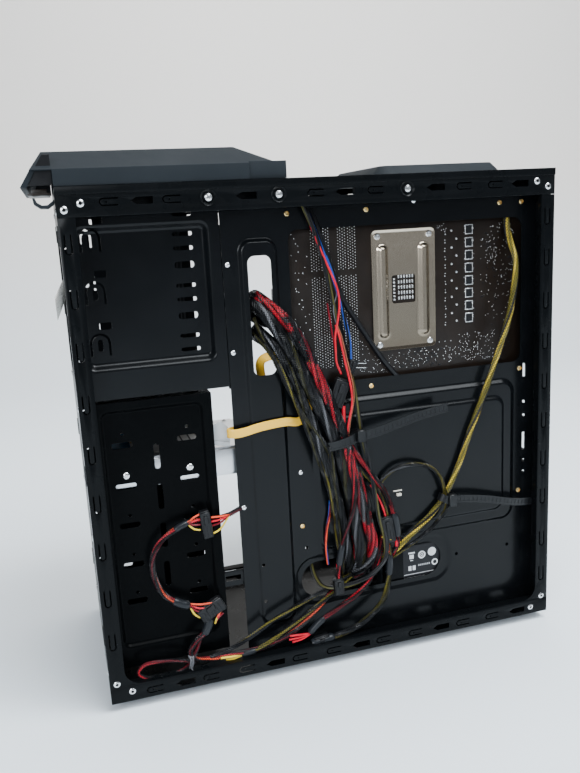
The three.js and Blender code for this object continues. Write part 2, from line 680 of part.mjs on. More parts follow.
function hardDrive() {
  const x = [RIGHT_WALL_X - SHEET - 3.4 - DRIVE.width, RIGHT_WALL_X - SHEET - 3.4];
  const y = [DRIVE.front, DRIVE.front + DRIVE.length];
  const z = [DRIVE.base, DRIVE.base + DRIVE.height];
  const body = box(x, y, [z[0] + 2, z[1] - 2]);
  const lid = box([x[0] + 3, x[1] - 3], [y[0] + 3, y[1] - 12], [z[1] - 3, z[1]]);
  const circuit = box([x[0] + 2, x[1] - 2], [y[0] + 40, y[1]], [z[0], z[0] + 3]);
  return join(body, lid, circuit);
}

function cageBrace() {
  const plate = box([RIGHT_WALL_X - 2.6, RIGHT_WALL_X - 1.6], [104, 140], [79, 94]);
  return cut(plate, box([RIGHT_WALL_X - 5, RIGHT_WALL_X], [112, 126], [84, 89]));
}

function cableGrommet() {
  return box([-75, -35], [SUPPLY.front - 2.3, SUPPLY.front - GAP], [23, 86]);
}

add('base_pan', basePan(), finishes.steel);
add('front_panel', frontPanel(), finishes.steel);
add('rear_panel', rearPanel(), finishes.steel);
add('top_panel', topPanel(), finishes.steel);
add('motherboard_tray', trayPanel(), finishes.steel);
add('optical_bay_right_wall', bayWall(RIGHT_WALL_X), finishes.steel);
add('optical_bay_left_wall', bayWall(BAY_LEFT_X + SHEET), finishes.steel);
add('optical_bay_floor', bayFloor(), finishes.steel);
add('hard_drive_cage', driveCage(), finishes.steel);
add('cage_brace', cageBrace(), finishes.steel);
add('bent_bay_tab', bentTab(), finishes.bareSteel);
add('hard_drive', hardDrive(), finishes.aluminium);

for (const [end, y] of [['front', 45], ['rear', DEPTH - 45]]) {
  for (const [side, x] of [['right', -28], ['left', -WIDTH + 28]]) {
    const foot = prism(disc(x, y, FOOT_RADIUS), 'z', -FOOT_HEIGHT, -GAP, 5);
    add(`foot_${end}_${side}`, foot, finishes.rubber);
  }
}

add('control_housing', topHousing(), finishes.plastic);
add('power_button', button(BUTTON, STEM_FOOT), finishes.gloss);
add('reset_button', button(RESET, STEM_FOOT), finishes.gloss);
add('front_ports', portBlock(), finishes.plastic);
add('front_io_board', frontBoard(), finishes.board);
add('bezel_latch', bezelLatch(), finishes.plastic);
add('top_vent_grille', ventGrille(), finishes.plastic);

const REAR_FAN_PLACE = [REAR_FAN.x, SUPPLY_REAR - FAN.depth, REAR_FAN.z];
const TOP_FAN_PLACE = [MIDDLE_X, TOP_FAN_Y, HEIGHT - SHEET - GAP - FAN.depth];
const COOLER_FAN_PLACE = [-121, CPU.y - 25 - 2 * GAP - FAN.depth, CPU.z];
add('rear_fan_frame', fanFrame(), finishes.plastic, REAR_FAN_PLACE, REAR_FAN_TURN);
add('rear_fan_rotor', fanRotor(), finishes.plastic, REAR_FAN_PLACE, REAR_FAN_TURN);
add('top_fan_frame', fanFrame(), finishes.plastic, TOP_FAN_PLACE);
add('top_fan_rotor', fanRotor(), finishes.plastic, TOP_FAN_PLACE);
add('cpu_fan_frame', fanFrame(), finishes.plastic, COOLER_FAN_PLACE, REAR_FAN_TURN);
add('cpu_fan_rotor', fanRotor(), finishes.plastic, COOLER_FAN_PLACE, REAR_FAN_TURN);

add('motherboard', mainBoard(), finishes.board);
add('cpu_backplate', backplate(), finishes.bareSteel);
const socket = onBoard([CPU.y - 25, CPU.y + 25], [CPU.z - 25, CPU.z + 25], 4).translate([-0.5 - GAP, 0, 0]);
add('cpu_socket', socket, finishes.bareSteel);
const chip = box([BOARD_FACE - 8.1, BOARD_FACE - 5.1], [CPU.y - 19, CPU.y + 19], [CPU.z - 19, CPU.z + 19]);
add('processor', chip, finishes.aluminium);
add('cpu_heatsink', coolerFins(), finishes.aluminium);
add('memory_module_1', memoryModule(MEMORY_ROWS[0]), finishes.gloss);
add('memory_module_2', memoryModule(MEMORY_ROWS[2]), finishes.gloss);
add('chipset_heatsink', chipsetHeatsink(), finishes.aluminium);
add('rear_ports', rearPorts(), finishes.bareSteel);
add('port_shield', portShield(), finishes.bareSteel);

add('graphics_board', cardBoard(), finishes.board);
add('graphics_shroud', cardShroud(), finishes.plastic);
const CARD_FAN_PLACE = [CARD.fanX, CARD.fanY, FIRST_SLOT_Z - 30];
add('graphics_fan_rotor', fanRotor(CARD.fanRadius, 16, 14, 9), finishes.plastic, CARD_FAN_PLACE);
add('graphics_bracket', slotBlade(0, 2), finishes.bareSteel);
for (let slot = 2; slot < SLOT_COUNT; slot += 1) {
  add(`slot_cover_${slot + 1}`, slotBlade(slot, 1), finishes.steel);
}

add('power_supply_case', powerSupplyCase(), finishes.steel);
const SUPPLY_FAN_PLACE = [MIDDLE_X, SUPPLY_FAN_Y, SUPPLY.bottom + 2];
add('power_supply_fan_rotor', fanRotor(58, 22), finishes.plastic, SUPPLY_FAN_PLACE);
add('power_inlet', powerInlet(), finishes.plastic);
add('power_rocker', powerRocker(), finishes.gloss);
add('cable_grommet', cableGrommet(), finishes.plastic);

const MAIN_HARNESS_ROUTE = [
  [-47, 269, 60], [-46.9, 266.5, 60], [-38, 257, 63], [-24, 251, 72], [-13.5, 247.5, 86],
  [-8, 245, 103], [-7.2, 242, 120], [-7.2, 238, 147], [-7.2, 231, 177], [-7.2, 223, 207],
  [-7.2, 207, 246], [-7.2, 193, 279], [-7.8, 181, 305], [-10, 168, 324], [-20.5, 159.6, 334],
  [-36, 156, 337], [-52, 158, 332], [-63, 167, 324], [-67, 178, 318], [-62, 184, 316.5],
  [-54, 184, 316.5],
];
add('main_harness', cord(MAIN_HARNESS_ROUTE, 6.5, 46), finishes.sleeve);
const SPARE_HARNESS_ROUTE = [
  [-47, 269.2, 42], [-46.6, 265, 42], [-38, 243, 54], [-24, 229, 70], [-13, 225, 87],
  [-7.4, 223, 104], [-7, 216, 151], [-7, 202, 201], [-7, 187, 248], [-7, 174, 280],
  [-9, 163, 300], [-20.5, 157, 308], [-34, 156, 311], [-50, 160, 305], [-60, 172, 296],
  [-62, 190, 286],
];
add('spare_harness', cord(SPARE_HARNESS_ROUTE, 5, 36), finishes.sleeve);
const CPU_POWER_LEAD_ROUTE = [
  [-40, 269.4, 79], [-39.6, 266.5, 79], [-33, 263.5, 79], [-22, 266, 80], [-13.5, 272, 86],
  [-11, 286, 99], [-11, 322, 129], [-11, 341, 161], [-11, 354, 194], [-11, 370, 231],
  [-11, 386, 273], [-11, 397, 305], [-11, 403, 340], [-13, 404, 358], [-19.5, 403, 372],
  [-24.2, 402, 386], [-24.2, 400.5, 402], [-24.4, 397, 416], [-28, 391, 424], [-33, 385, 423],
  [-34, 383, 417.5], [-34, 383, 414.8],
];
add('cpu_power_lead', cord(CPU_POWER_LEAD_ROUTE, 2.7, 48), finishes.sleeve);
const SATA_DATA_CABLE_ROUTE = [
  [-50, 159.6, 190], [-50, 168, 192], [-44, 173, 202], [-34, 168, 213], [-27, 152, 220],
  [-25, 138, 223], [-24, 127, 224], [-18, 122.5, 224], [-13.6, 128, 224], [-13.4, 136, 224.5],
  [-13.8, 150, 227], [-14, 165, 228.5], [-14.4, 176, 228.8], [-16.8, 187, 227], [-17.6, 194, 231],
  [-17.6, 198, 240], [-17.6, 203, 252], [-17.6, 203, 266], [-17.6, 196, 280], [-15.5, 185, 288],
  [-14, 174, 290], [-20.5, 161, 287], [-28, 158, 281], [-33, 160, 266], [-33.5, 165, 236],
  [-33.5, 168, 200], [-33.5, 171.5, 183], [-33.5, 175.4, 180],
];
add('sata_data_cable', cord(SATA_DATA_CABLE_ROUTE, 1.5, 60), finishes.yellow);
const FRONT_PANEL_LEADS_ROUTE = [
  [-100, 100, 440.1], [-100, 100.4, 437], [-99, 108, 430], [-80, 140, 429], [-50, 170, 428],
  [-28, 188, 427], [-18, 196, 424], [-14, 201, 412], [-14, 207, 398], [-14.5, 215, 372],
  [-15, 221, 346], [-15.5, 227, 319], [-16, 233, 292], [-16, 237, 269], [-12, 240, 245],
  [-7, 243, 215], [-5, 250, 175], [-3.4, 256, 130], [-3.2, 262, 105], [-3, 261, 88],
  [-3, 250, 76], [-3.4, 236, 70], [-4.6, 222, 67], [-7, 211, 66], [-14, 202, 66],
  [-24, 197, 74], [-31, 195, 92], [-33, 195, 113],
];
add('front_panel_leads', cord(FRONT_PANEL_LEADS_ROUTE, 2.6, 60), finishes.wires);
const DRIVE_POWER_CHAIN_ROUTE = [
  [-62, 269.4, 30], [-61.8, 266, 30], [-51, 254, 35], [-35, 236, 50], [-24, 221, 60],
  [-13, 207, 58], [-9, 194, 47], [-9, 176, 33], [-9, 158, 24], [-9, 136, 19],
  [-9, 110, 18.6], [-9, 90, 18.8], [-9, 77, 22], [-9, 73, 30], [-9, 79, 39],
  [-10, 88, 46], [-11, 92, 56], [-11, 89, 66], [-11, 79, 72], [-11, 68, 77],
  [-11, 55, 87], [-11, 48, 103], [-11, 47, 122], [-11, 55, 137], [-12, 69, 146],
  [-14, 82, 150], [-15, 96, 151.5],
];
add('drive_power_chain', cord(DRIVE_POWER_CHAIN_ROUTE, 2.8, 60), finishes.sleeve);

tower.position.set(WIDTH / 2, -(HOUSING.front + DEPTH) / 2, FOOT_HEIGHT);

export default tower;
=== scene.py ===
"""The looks of an open desktop computer tower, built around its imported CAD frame.

Shapes are written in chassis millimetres: x = 0 is the plane of the right-hand rails with
+X towards the viewer, y = 0 the steel front and z = 0 the underside of the base.
at() turns such a point into a place in the frame, in metres.
"""

import json
import math
import random

import bmesh
import bpy
import numpy as np
from mathutils import Matrix, Vector


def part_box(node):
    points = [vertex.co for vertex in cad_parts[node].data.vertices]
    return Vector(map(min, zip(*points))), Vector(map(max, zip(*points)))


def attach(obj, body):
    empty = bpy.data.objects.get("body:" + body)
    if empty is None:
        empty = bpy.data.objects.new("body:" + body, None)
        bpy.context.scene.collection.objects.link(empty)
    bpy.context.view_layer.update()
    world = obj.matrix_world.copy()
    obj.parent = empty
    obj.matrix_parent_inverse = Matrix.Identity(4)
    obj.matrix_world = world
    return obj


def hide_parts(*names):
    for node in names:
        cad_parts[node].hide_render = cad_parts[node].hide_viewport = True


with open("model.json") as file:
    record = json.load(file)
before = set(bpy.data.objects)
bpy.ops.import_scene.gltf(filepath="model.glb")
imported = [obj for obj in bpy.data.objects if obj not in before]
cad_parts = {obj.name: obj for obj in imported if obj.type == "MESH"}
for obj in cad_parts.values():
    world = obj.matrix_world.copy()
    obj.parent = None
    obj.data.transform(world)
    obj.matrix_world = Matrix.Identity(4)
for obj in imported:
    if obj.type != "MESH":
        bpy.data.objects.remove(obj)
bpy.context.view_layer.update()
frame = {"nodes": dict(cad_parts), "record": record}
NODES = frame["nodes"]

MM = 0.001
SHEET = 1.0
PAN_LOW, PAN_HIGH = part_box("base_pan")
ORIGIN = Vector((PAN_HIGH.x, PAN_LOW.y, PAN_LOW.z))
WIDTH = (PAN_HIGH.x - PAN_LOW.x) / MM


def at(x, y, z):
    return ORIGIN + Vector((x, y, z)) * MM


def chassis_box(node):
    """A CAD node's lowest and highest corners, in chassis millimetres."""
    low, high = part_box(node)
    return (low - ORIGIN) / MM, (high - ORIGIN) / MM


# ---------------------------------------------------------------- camera

CAMERA_PLACE = Vector((0.72353, -0.21253, 0.41297))
CAMERA_RIGHT = Vector((0.29146865, 0.95516559, -0.05200686))
CAMERA_UP = Vector((-0.18898168, 0.11079322, 0.9757104))
FOCAL_LENGTH = 36.09


def make_camera():
    data = bpy.data.cameras.new("camera")
    data.lens = FOCAL_LENGTH
    data.sensor_width = 36.0
    data.clip_start = 0.01
    camera = bpy.data.objects.new("camera", data)
    back = CAMERA_RIGHT.cross(CAMERA_UP)
    turn = Matrix((CAMERA_RIGHT, CAMERA_UP, back)).transposed()
    camera.matrix_world = Matrix.Translation(CAMERA_PLACE) @ turn.to_4x4()
    bpy.context.scene.collection.objects.link(camera)
    bpy.context.scene.camera = camera


make_camera()


# ---------------------------------------------------------------- materials

class Shader:
    """A material under construction, with short names for the nodes it needs."""

    def __init__(self, name):
        self.material = bpy.data.materials.new(name)
        self.material.use_nodes = True
        self.tree = self.material.node_tree
        self.place = self.node("TexCoord").outputs["Object"]

    def feed(self, node, inputs):
        """Sets a node's inputs, each to a value or to another node's output."""
        for key, value in inputs.items():
            socket = node.inputs[key.replace("_", " ")]
            if isinstance(value, bpy.types.NodeSocket):
                self.tree.links.new(value, socket)
            else:
                socket.default_value = value

    def node(self, kind, **inputs):
        made = self.tree.nodes.new("ShaderNode" + kind)
        self.feed(made, inputs)
        return made

    def surface(self, **inputs):
        self.feed(self.tree.nodes["Principled BSDF"], inputs)
        return self.material

    def noise(self, scale, detail=3.0, vector=None, rough=0.55):
        return self.node("TexNoise", Scale=scale, Detail=detail, Roughness=rough,
                         Vector=vector or self.place).outputs["Fac"]

    def height(self):
        return self.node("SeparateXYZ", Vector=self.place).outputs["Z"]

    def ramp(self, value, stops):
        node = self.node("ValToRGB", Fac=value)
        elements = node.color_ramp.elements
        for element, (position, colour) in zip(elements, stops):
            element.position = position
            element.color = (*colour, 1.0)
        return node.outputs["Color"]

    def spread(self, value, low, high, start=0.3, end=0.7):
        return self.node("MapRange", Value=value, From_Min=start, From_Max=end,
                         To_Min=low, To_Max=high).outputs["Result"]

    def bump(self, height, strength, distance):
        return self.node("Bump", Strength=strength, Distance=distance, Height=height).outputs["Normal"]


def painted(name, dark, light, rough, grain=900.0, depth=0.00003, strength=0.25, shine=0.5):
    """Powder coat or moulded plastic: a fine grain, cloudy gloss and slightly uneven colour."""
    shader = Shader(name)
    return shader.surface(
        Specular_IOR_Level=shine,
        Base_Color=shader.ramp(shader.noise(14.0, 4.0), [(0.3, dark), (0.7, light)]),
        Roughness=shader.spread(shader.noise(45.0, 5.0), *rough),
        Normal=shader.bump(shader.noise(grain, 2.0), strength, depth))


def metal(name, dark, light, rough, streak=(60.0, 60.0, 60.0), strength=0.12, painted_shade_span=None):
    """Bare metal with rolling marks along the axis of the smallest streak scale.

    The last argument is a span of heights in metres, over which the colour goes from dark to light: a
    painted shade that darkens the metal towards the bottom.
    """
    shader = Shader(name)
    stretched = shader.node("Mapping", Scale=streak, Vector=shader.place).outputs["Vector"]
    marks = shader.noise(24.0, 6.0, stretched, 0.7)
    # Over the span of heights the colour is painted shade, darker low down; without it the tone varies
    # at random.
    cloud = shader.spread(shader.height(), 0.25, 0.75, *painted_shade_span) if painted_shade_span else shader.noise(30.0, 3.0)
    return shader.surface(
        Metallic=1.0,
        Base_Color=shader.ramp(cloud, [(0.25, dark), (0.75, light)]),
        Roughness=shader.spread(marks, *rough),
        Normal=shader.bump(marks, strength, 0.00002))


def tinted(name, rough):
    """Plastic whose colour is carried by each point of the mesh, as on a bundle of wires."""
    shader = Shader(name)
    colour = shader.node("Attribute")
    colour.attribute_name = "tint"
    shade = shader.node("Mix")
    shade.data_type = "RGBA"
    shade.blend_type = "MULTIPLY"
    cloud = shader.ramp(shader.noise(90.0), [(0.3, (0.7, 0.7, 0.7)), (0.7, (1, 1, 1))])
    shader.feed(shade, {"Factor": 1.0, "A": colour.outputs["Color"], "B": cloud})
    return shader.surface(
        Specular_IOR_Level=0.2,
        Base_Color=shade.outputs["Result"],
        Roughness=shader.spread(shader.noise(120.0), *rough),
        Normal=shader.bump(shader.noise(700.0, 2.0), 0.15, 0.00002))


def circuit_board(name, dark, light):
    """Solder resist over fine copper runs, which show as faint raised lines."""
    shader = Shader(name)
    upright = shader.node("Mapping", Rotation=(0.0, math.radians(90), 0.0), Vector=shader.place)
    bricks = shader.node("TexBrick", Vector=upright.outputs["Vector"], Scale=140.0, Mortar_Size=0.012,
                         Brick_Width=1.9, Row_Height=0.11)
    bricks.offset_frequency = 3
    runs = shader.node("Math")
    runs.operation = "MULTIPLY"
    shader.tree.links.new(bricks.outputs["Fac"], runs.inputs[0])
    shader.tree.links.new(shader.spread(shader.noise(38.0, 1.0), 0.0, 1.0, 0.45, 0.52), runs.inputs[1])
    return shader.surface(
        Specular_IOR_Level=0.3,
        Base_Color=shader.ramp(runs.outputs[0], [(0.0, dark), (1.0, light)]),
        Roughness=shader.spread(shader.noise(60.0), 0.28, 0.42),
        Normal=shader.bump(runs.outputs[0], 0.3, 0.00004))


STEEL = painted("black_powder_coat", (0.0016, 0.0020, 0.0024), (0.0027, 0.0033, 0.0039), (0.24, 0.34),
                shine=0.085)
# A lit copy of the black powder coat, lighter and glossier than the rest: painted highlight on the
# tray, the bay walls and their bevels.
STEEL_PAINTED_LIT = painted("black_powder_coat_painted_lit", (0.0022, 0.0027, 0.0032), (0.0034, 0.0040, 0.0048),
                      (0.19, 0.26), shine=0.155)
# A shaded copy of the black powder coat, darker and duller than the rest: painted shade on the drive
# cage deep inside the case.
STEEL_PAINTED_SHADE = painted("black_powder_coat_painted_shade", (0.0010, 0.0012, 0.0014), (0.0016, 0.0019, 0.0022),
                     (0.24, 0.32), shine=0.03)
PLASTIC = painted("black_moulded_plastic", (0.0130, 0.0158, 0.0185), (0.0175, 0.0208, 0.0240),
                  (0.50, 0.62), 1600.0, shine=0.05)
FAN_PLASTIC = painted("fan_plastic", (0.010, 0.010, 0.011), (0.016, 0.016, 0.017), (0.28, 0.40), 1200.0)
GLOSS = painted("polished_black", (0.0080, 0.0085, 0.0090), (0.0110, 0.0115, 0.0120), (0.10, 0.18),
                500.0, 0.00001)
RUBBER = painted("rubber", (0.011, 0.011, 0.011), (0.017, 0.017, 0.017), (0.75, 0.90), 1100.0, 0.00006,
                 0.4)
CONNECTOR = painted("connector_nylon", (0.0035, 0.0036, 0.0042), (0.0065, 0.0067, 0.0078), (0.32, 0.46),
                    1300.0, shine=0.25)
STRAP = painted("tie_nylon", (0.0040, 0.0044, 0.0050), (0.0070, 0.0076, 0.0086), (0.30, 0.42), 1300.0,
                shine=0.25)
NET = painted("braided_net", (0.0022, 0.0024, 0.0028), (0.0100, 0.0106, 0.0125), (0.28, 0.40), 2600.0,
              shine=0.22)
SHRINK = painted("shrink_tube", (0.0060, 0.0070, 0.0088), (0.0125, 0.0145, 0.0175), (0.26, 0.38),
                 1800.0,
                 shine=0.22)
YELLOW = painted("yellow_jacket", (0.80, 0.42, 0.020), (0.90, 0.54, 0.045), (0.30, 0.40), 1500.0,
                 0.00001)
WIRES = tinted("insulated_wires", (0.28, 0.40))
PRINT = tinted("printed_label", (0.40, 0.50))
CLEAR = painted("smoky_film", (0.30, 0.31, 0.32), (0.42, 0.43, 0.44), (0.16, 0.28), 300.0)
BARE_STEEL = metal("zinc_plate", (0.40, 0.39, 0.36), (0.58, 0.57, 0.54), (0.22, 0.38))
# The nickel plate's colour carries a painted shade that darkens it towards its bottom.
NICKEL = metal("nickel_plate", (0.19, 0.155, 0.115), (0.60, 0.51, 0.395), (0.12, 0.24),
               (500.0, 260.0, 9.0),
               0.2, (0.295, 0.385))
ALUMINIUM = metal("aluminium", (0.60, 0.61, 0.63), (0.74, 0.75, 0.77), (0.25, 0.42),
                  (20.0, 500.0, 500.0))
SCREW = metal("screw_plate", (0.66, 0.66, 0.66), (0.85, 0.85, 0.85), (0.16, 0.26))
SOLDER = metal("solder", (0.80, 0.80, 0.79), (0.98, 0.98, 0.97), (0.20, 0.34))
BRASS = metal("brass", (0.60, 0.42, 0.16), (0.80, 0.60, 0.28), (0.22, 0.34))
BOARD = circuit_board("main_board_resist", (0.0080, 0.0050, 0.0034), (0.0170, 0.0110, 0.0078))
CAPACITOR = painted("electrolytic_sleeve", (0.012, 0.016, 0.035), (0.020, 0.026, 0.055), (0.25, 0.35),
                    900.0, 0.00001)
SOCKET = painted("socket_nylon", (0.045, 0.045, 0.050), (0.065, 0.065, 0.070), (0.35, 0.48), 1300.0)
SOCKET_BLUE = painted("socket_blue", (0.010, 0.035, 0.140), (0.016, 0.050, 0.190), (0.32, 0.44), 1300.0)
SOCKET_IVORY = painted("socket_ivory", (0.55, 0.52, 0.44), (0.66, 0.63, 0.55), (0.35, 0.48), 1300.0)


# ---------------------------------------------------------------- solids

BLACK = (0.0, 0.0, 0.0)
SMOOTH_ANGLE = 38.0
PRESSED_ANGLE = 50.0
RIM_ANGLE = math.radians(28)
FLAT_ANGLE = math.radians(0.5)
WELD_DISTANCE = 1e-6


def around(middle, half):
    """A span from its middle and half its width."""
    return (middle - half, middle + half)


def placed(axis, height, a, b):
    """A point at a height along an axis, and at a and b along the two others."""
    return {"x": (height, a, b), "y": (a, height, b), "z": (a, b, height)}[axis]


class Solids:
    """Closed solids in chassis millimetres, gathered into one mesh."""

    def __init__(self):
        self.points = []
        self.faces = []
        self.tints = []

    def add(self, points, faces, tint=BLACK):
        start = len(self.points)
        self.points.extend(tuple(p) for p in points)
        self.tints.extend(tint if np.ndim(tint) == 2 else [tint] * len(points))
        self.faces.extend([start + i for i in face] for face in faces)
        return self

    def skin(self, points, sides, tint=BLACK):
        """Joins rings of points that all have the same number of sides, and caps both ends."""
        last = len(points) - 1
        faces = [list(range(sides)), [last - i for i in range(sides)]]
        for base in range(0, last + 1 - sides, sides):
            for i in range(sides):
                j = (i + 1) % sides
                faces.append([base + i, base + j, base + sides + j, base + sides + i])
        return self.add(points, faces, tint)

    def box(self, x, y, z, edge=0.25, turn=None, tint=BLACK):
        """A block with chamfered edges. turn is a rotation about its own middle."""
        low = (min(x), min(y), min(z))
        high = (max(x), max(y), max(z))
        edge = min(edge, *[(h - l) * 0.45 for l, h in zip(low, high)])
        points = []
        for corner in range(8):
            side = [(corner >> axis) & 1 for axis in range(3)]
            for kept in range(3):
                insets = [0.0 if axis == kept else edge for axis in range(3)]
                points.append([h - i if s else l + i for h, l, i, s in zip(high, low, insets, side)])
        faces = [[3 * c, 3 * c + 1, 3 * c + 2] for c in range(8)]
        for axis in range(3):
            near, far = [other for other in range(3) if other != axis]
            b, c = 1 << near, 1 << far
            for end in (0, 1 << axis):
                faces.append([3 * (end | k) + axis for k in (0, b, b | c, c)])
            for base in (0, b, c, b | c):
                i, j = 3 * base, 3 * (base | (1 << axis))
                faces.append([i + near, j + near, j + far, i + far])
        if turn is not None:
            middle = Vector([(l + h) / 2 for l, h in zip(low, high)])
            points = [middle + turn @ (Vector(p) - middle) for p in points]
        return self.add(points, faces, tint)

    def prism(self, outline, axis, start, end, edge=0.0, tint=BLACK):
        """An outline in the two axes other than axis, drawn along axis, with chamfered rims."""
        layers = [(start, outline), (end, outline)]
        if edge:
            inner = inset(outline, edge)
            step = math.copysign(edge, end - start)
            layers = [(start, inner), (start + step, outline), (end - step, outline), (end, inner)]
        points = [placed(axis, height, a, b) for height, ring in layers for a, b in ring]
        return self.skin(points, len(outline), tint)

    def lathe(self, profile, middle, axis, segments=16):
        """A profile of (radius, height) pairs turned about axis. It starts and ends at radius 0."""
        points, rings = [], []
        for radius, height in profile:
            ring = []
            for i in range(segments if radius > 0 else 1):
                turn = 2 * math.pi * i / segments
                offset = placed(axis, height, radius * math.cos(turn), radius * math.sin(turn))
                ring.append(len(points))
                points.append([m + o for m, o in zip(middle, offset)])
            rings.append(ring)
        faces = []
        for lower, upper in zip(rings, rings[1:]):
            for i in range(segments):
                j = (i + 1) % segments
                quad = [lower[i % len(lower)], lower[j % len(lower)], upper[j % len(upper)],
                        upper[i % len(upper)]]
                faces.append([k for n, k in enumerate(quad) if k not in quad[:n]])
        return self.add(points, faces)

    def tube(self, line, radius, sides=8, tint=BLACK):
        """A round tube with capped ends. radius and tint may be given for each point of the line."""
        places, across, along = line
        if np.ndim(tint) == 2:
            tint = [tuple(colour) for colour in tint for _ in range(sides)]
        radii = radius if np.ndim(radius) else np.full(len(places), radius)
        turns = np.arange(sides) * 2 * math.pi / sides
        ring = np.cos(turns)[None, :, None] * across[:, None, :] + np.sin(turns)[None, :,
                                                                                 None] * along[:, None,
                                                                                               :]
        points = (places[:, None, :] + ring * np.asarray(radii)[:, None, None]).reshape(-1, 3)
        return self.skin(points.tolist(), sides, tint)


def inset(outline, distance):
    """The outline moved inwards by a distance, whichever way round it runs."""
    area = sum(a[0] * b[1] - b[0] * a[1] for a, b in zip(outline, outline[1:] + outline[:1]))
    side = 1.0 if area > 0 else -1.0
    moved = []
    count = len(outline)
    for i in range(count):
        before, here, after = (Vector(outline[(i + k) % count]) for k in (-1, 0, 1))
        one, two = (here - before).normalized(), (after - here).normalized()
        normal = Vector((-(one.y + two.y), one.x + two.x))
        if normal.length < 1e-6:
            normal = Vector((-one.y, one.x))
        normal.normalize()
        reach = distance / max(0.35, normal.dot(Vector((-one.y, one.x))))
        moved.append(tuple(here + normal * reach * side))
    return moved


def arc(middle, radius, start, end, steps):
    """Points along an arc, between two angles in degrees."""
    turns = [math.radians(start + (end - start) * i / steps) for i in range(steps + 1)]
    return [(middle[0] + radius * math.cos(t), middle[1] + radius * math.sin(t)) for t in turns]


def rounded(a, b, radius, steps=6):
    """A rectangle with round corners, from its spans along two axes."""
    low, high = (min(a), min(b)), (max(a), max(b))
    corners = [(high[0], low[1], -90), (high[0], high[1], 0), (low[0], high[1], 90),
               (low[0], low[1], 180)]
    outline = []
    for x, y, start in corners:
        middle = (x - math.copysign(radius, x - low[0] - 1e-9),
                  y - math.copysign(radius, y - low[1] - 1e-9))
        outline.extend(arc(middle, radius, start, start + 90, steps))
    return outline


def circle(middle, radius, steps=24):
    return arc(middle, radius, 0, 360 - 360 / steps, steps - 1)


def new_object(name, mesh):
    made = bpy.data.objects.new(name, mesh)
    bpy.context.scene.collection.objects.link(made)
    return made


def mesh_of(name, solids):
    """One mesh from solids, with its normals outwards and a colour at each point."""
    mesh = bpy.data.meshes.new(name)
    mesh.from_pydata([at(*p) for p in solids.points], [], solids.faces)
    tint = mesh.attributes.new("tint", "FLOAT_COLOR", "POINT")
    colours = np.ones((len(solids.points), 4), np.float32)
    colours[:, :3] = solids.tints
    tint.data.foreach_set("color", colours.ravel())
    work = bmesh.new()
    work.from_mesh(mesh)
    bmesh.ops.recalc_face_normals(work, faces=work.faces)
    work.to_mesh(mesh)
    work.free()
    return mesh


def dress(piece, material, body="chassis", sharp=SMOOTH_ANGLE):
    """Shades a piece, gives it its material, and puts it on its body."""
    piece.data.materials.clear()
    piece.data.materials.append(material)
    piece.data.shade_smooth()
    piece.data.set_sharp_from_angle(angle=math.radians(sharp))
    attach(piece, body)
    return piece


def make(name, solids, material, sharp=SMOOTH_ANGLE):
    return dress(new_object(name, mesh_of(name, solids)), material, sharp=sharp)


def applied(piece):
    """Turns a piece's modifiers into mesh."""
    bpy.context.view_layer.update()
    shown = piece.evaluated_get(bpy.context.evaluated_depsgraph_get())
    mesh = bpy.data.meshes.new_from_object(shown)
    piece.modifiers.clear()
    piece.data = mesh


def cut_by(piece, cutters, operation="DIFFERENCE"):
    """Cuts a piece by closed solids that don't touch each other."""
    tool = new_object("cutter", mesh_of("cutter", cutters))
    change = piece.modifiers.new("cut", "BOOLEAN")
    change.operation = operation
    change.solver = "EXACT"
    change.object = tool
    applied(piece)
    bpy.data.objects.remove(tool)


def softened(node, material, width=0.3, cutters=None, body="chassis"):
    """A copy of a CAD node with its facets merged, its holes cut and its edges rounded."""
    source = NODES[node].data
    mesh = bpy.data.meshes.new(node + "_finished")
    mesh.from_pydata([v.co for v in source.vertices], [], [list(p.vertices) for p in source.polygons])
    work = bmesh.new()
    work.from_mesh(mesh)
    bmesh.ops.remove_doubles(work, verts=work.verts, dist=WELD_DISTANCE)
    bmesh.ops.dissolve_limit(work, angle_limit=FLAT_ANGLE, verts=work.verts, edges=work.edges)
    work.to_mesh(mesh)
    work.free()
    piece = new_object(node + "_finished", mesh)
    if cutters is not None:
        cut_by(piece, cutters)
    rim = piece.modifiers.new("rim", "BEVEL")
    rim.width = width * MM
    rim.segments = 2
    rim.limit_method = "ANGLE"
    rim.angle_limit = RIM_ANGLE
    applied(piece)
    dress(piece, material, body)
    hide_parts(node)


# ---------------------------------------------------------------- pressed sheets

def smooth(t):
    """An even rise from 0 to 1 that starts and ends flat."""
    t = min(1.0, max(0.0, t))
    return t * t * (3 - 2 * t)


def depth_inside(y, z, field):
    """How far a point is inside a field's rounded rectangle, negative outside it."""
    middle = [(sum(field[key]) / 2) for key in ("y", "z")]
    half = [abs(field[key][1] - field[key][0]) / 2 for key in ("y", "z")]
    corner = min(field["corner"], *half)
    qy = abs(y - middle[0]) - half[0] + corner
    qz = abs(z - middle[1]) - half[1] + corner
    outside = math.hypot(max(qy, 0), max(qz, 0)) + min(max(qy, qz), 0) - corner
    return -outside


def grid_lines(span, edges, coarse, fine=0.8):
    """Grid lines across a span, close together where a pressed edge runs."""
    marks = {span[0], span[1]}
    steps = max(1, round((span[1] - span[0]) / coarse))
    marks.update(span[0] + (span[1] - span[0]) * i / steps for i in range(steps + 1))
    for start, width in edges:
        count = max(2, round(abs(width) / fine))
        marks.update(start + width * i / count for i in range(-1, count + 2))
    kept = []
    for mark in sorted(m for m in marks if span[0] <= m <= span[1]):
        if not kept or mark - kept[-1] > fine * 0.45:
            kept.append(mark)
    kept[-1] = span[1]
    return kept


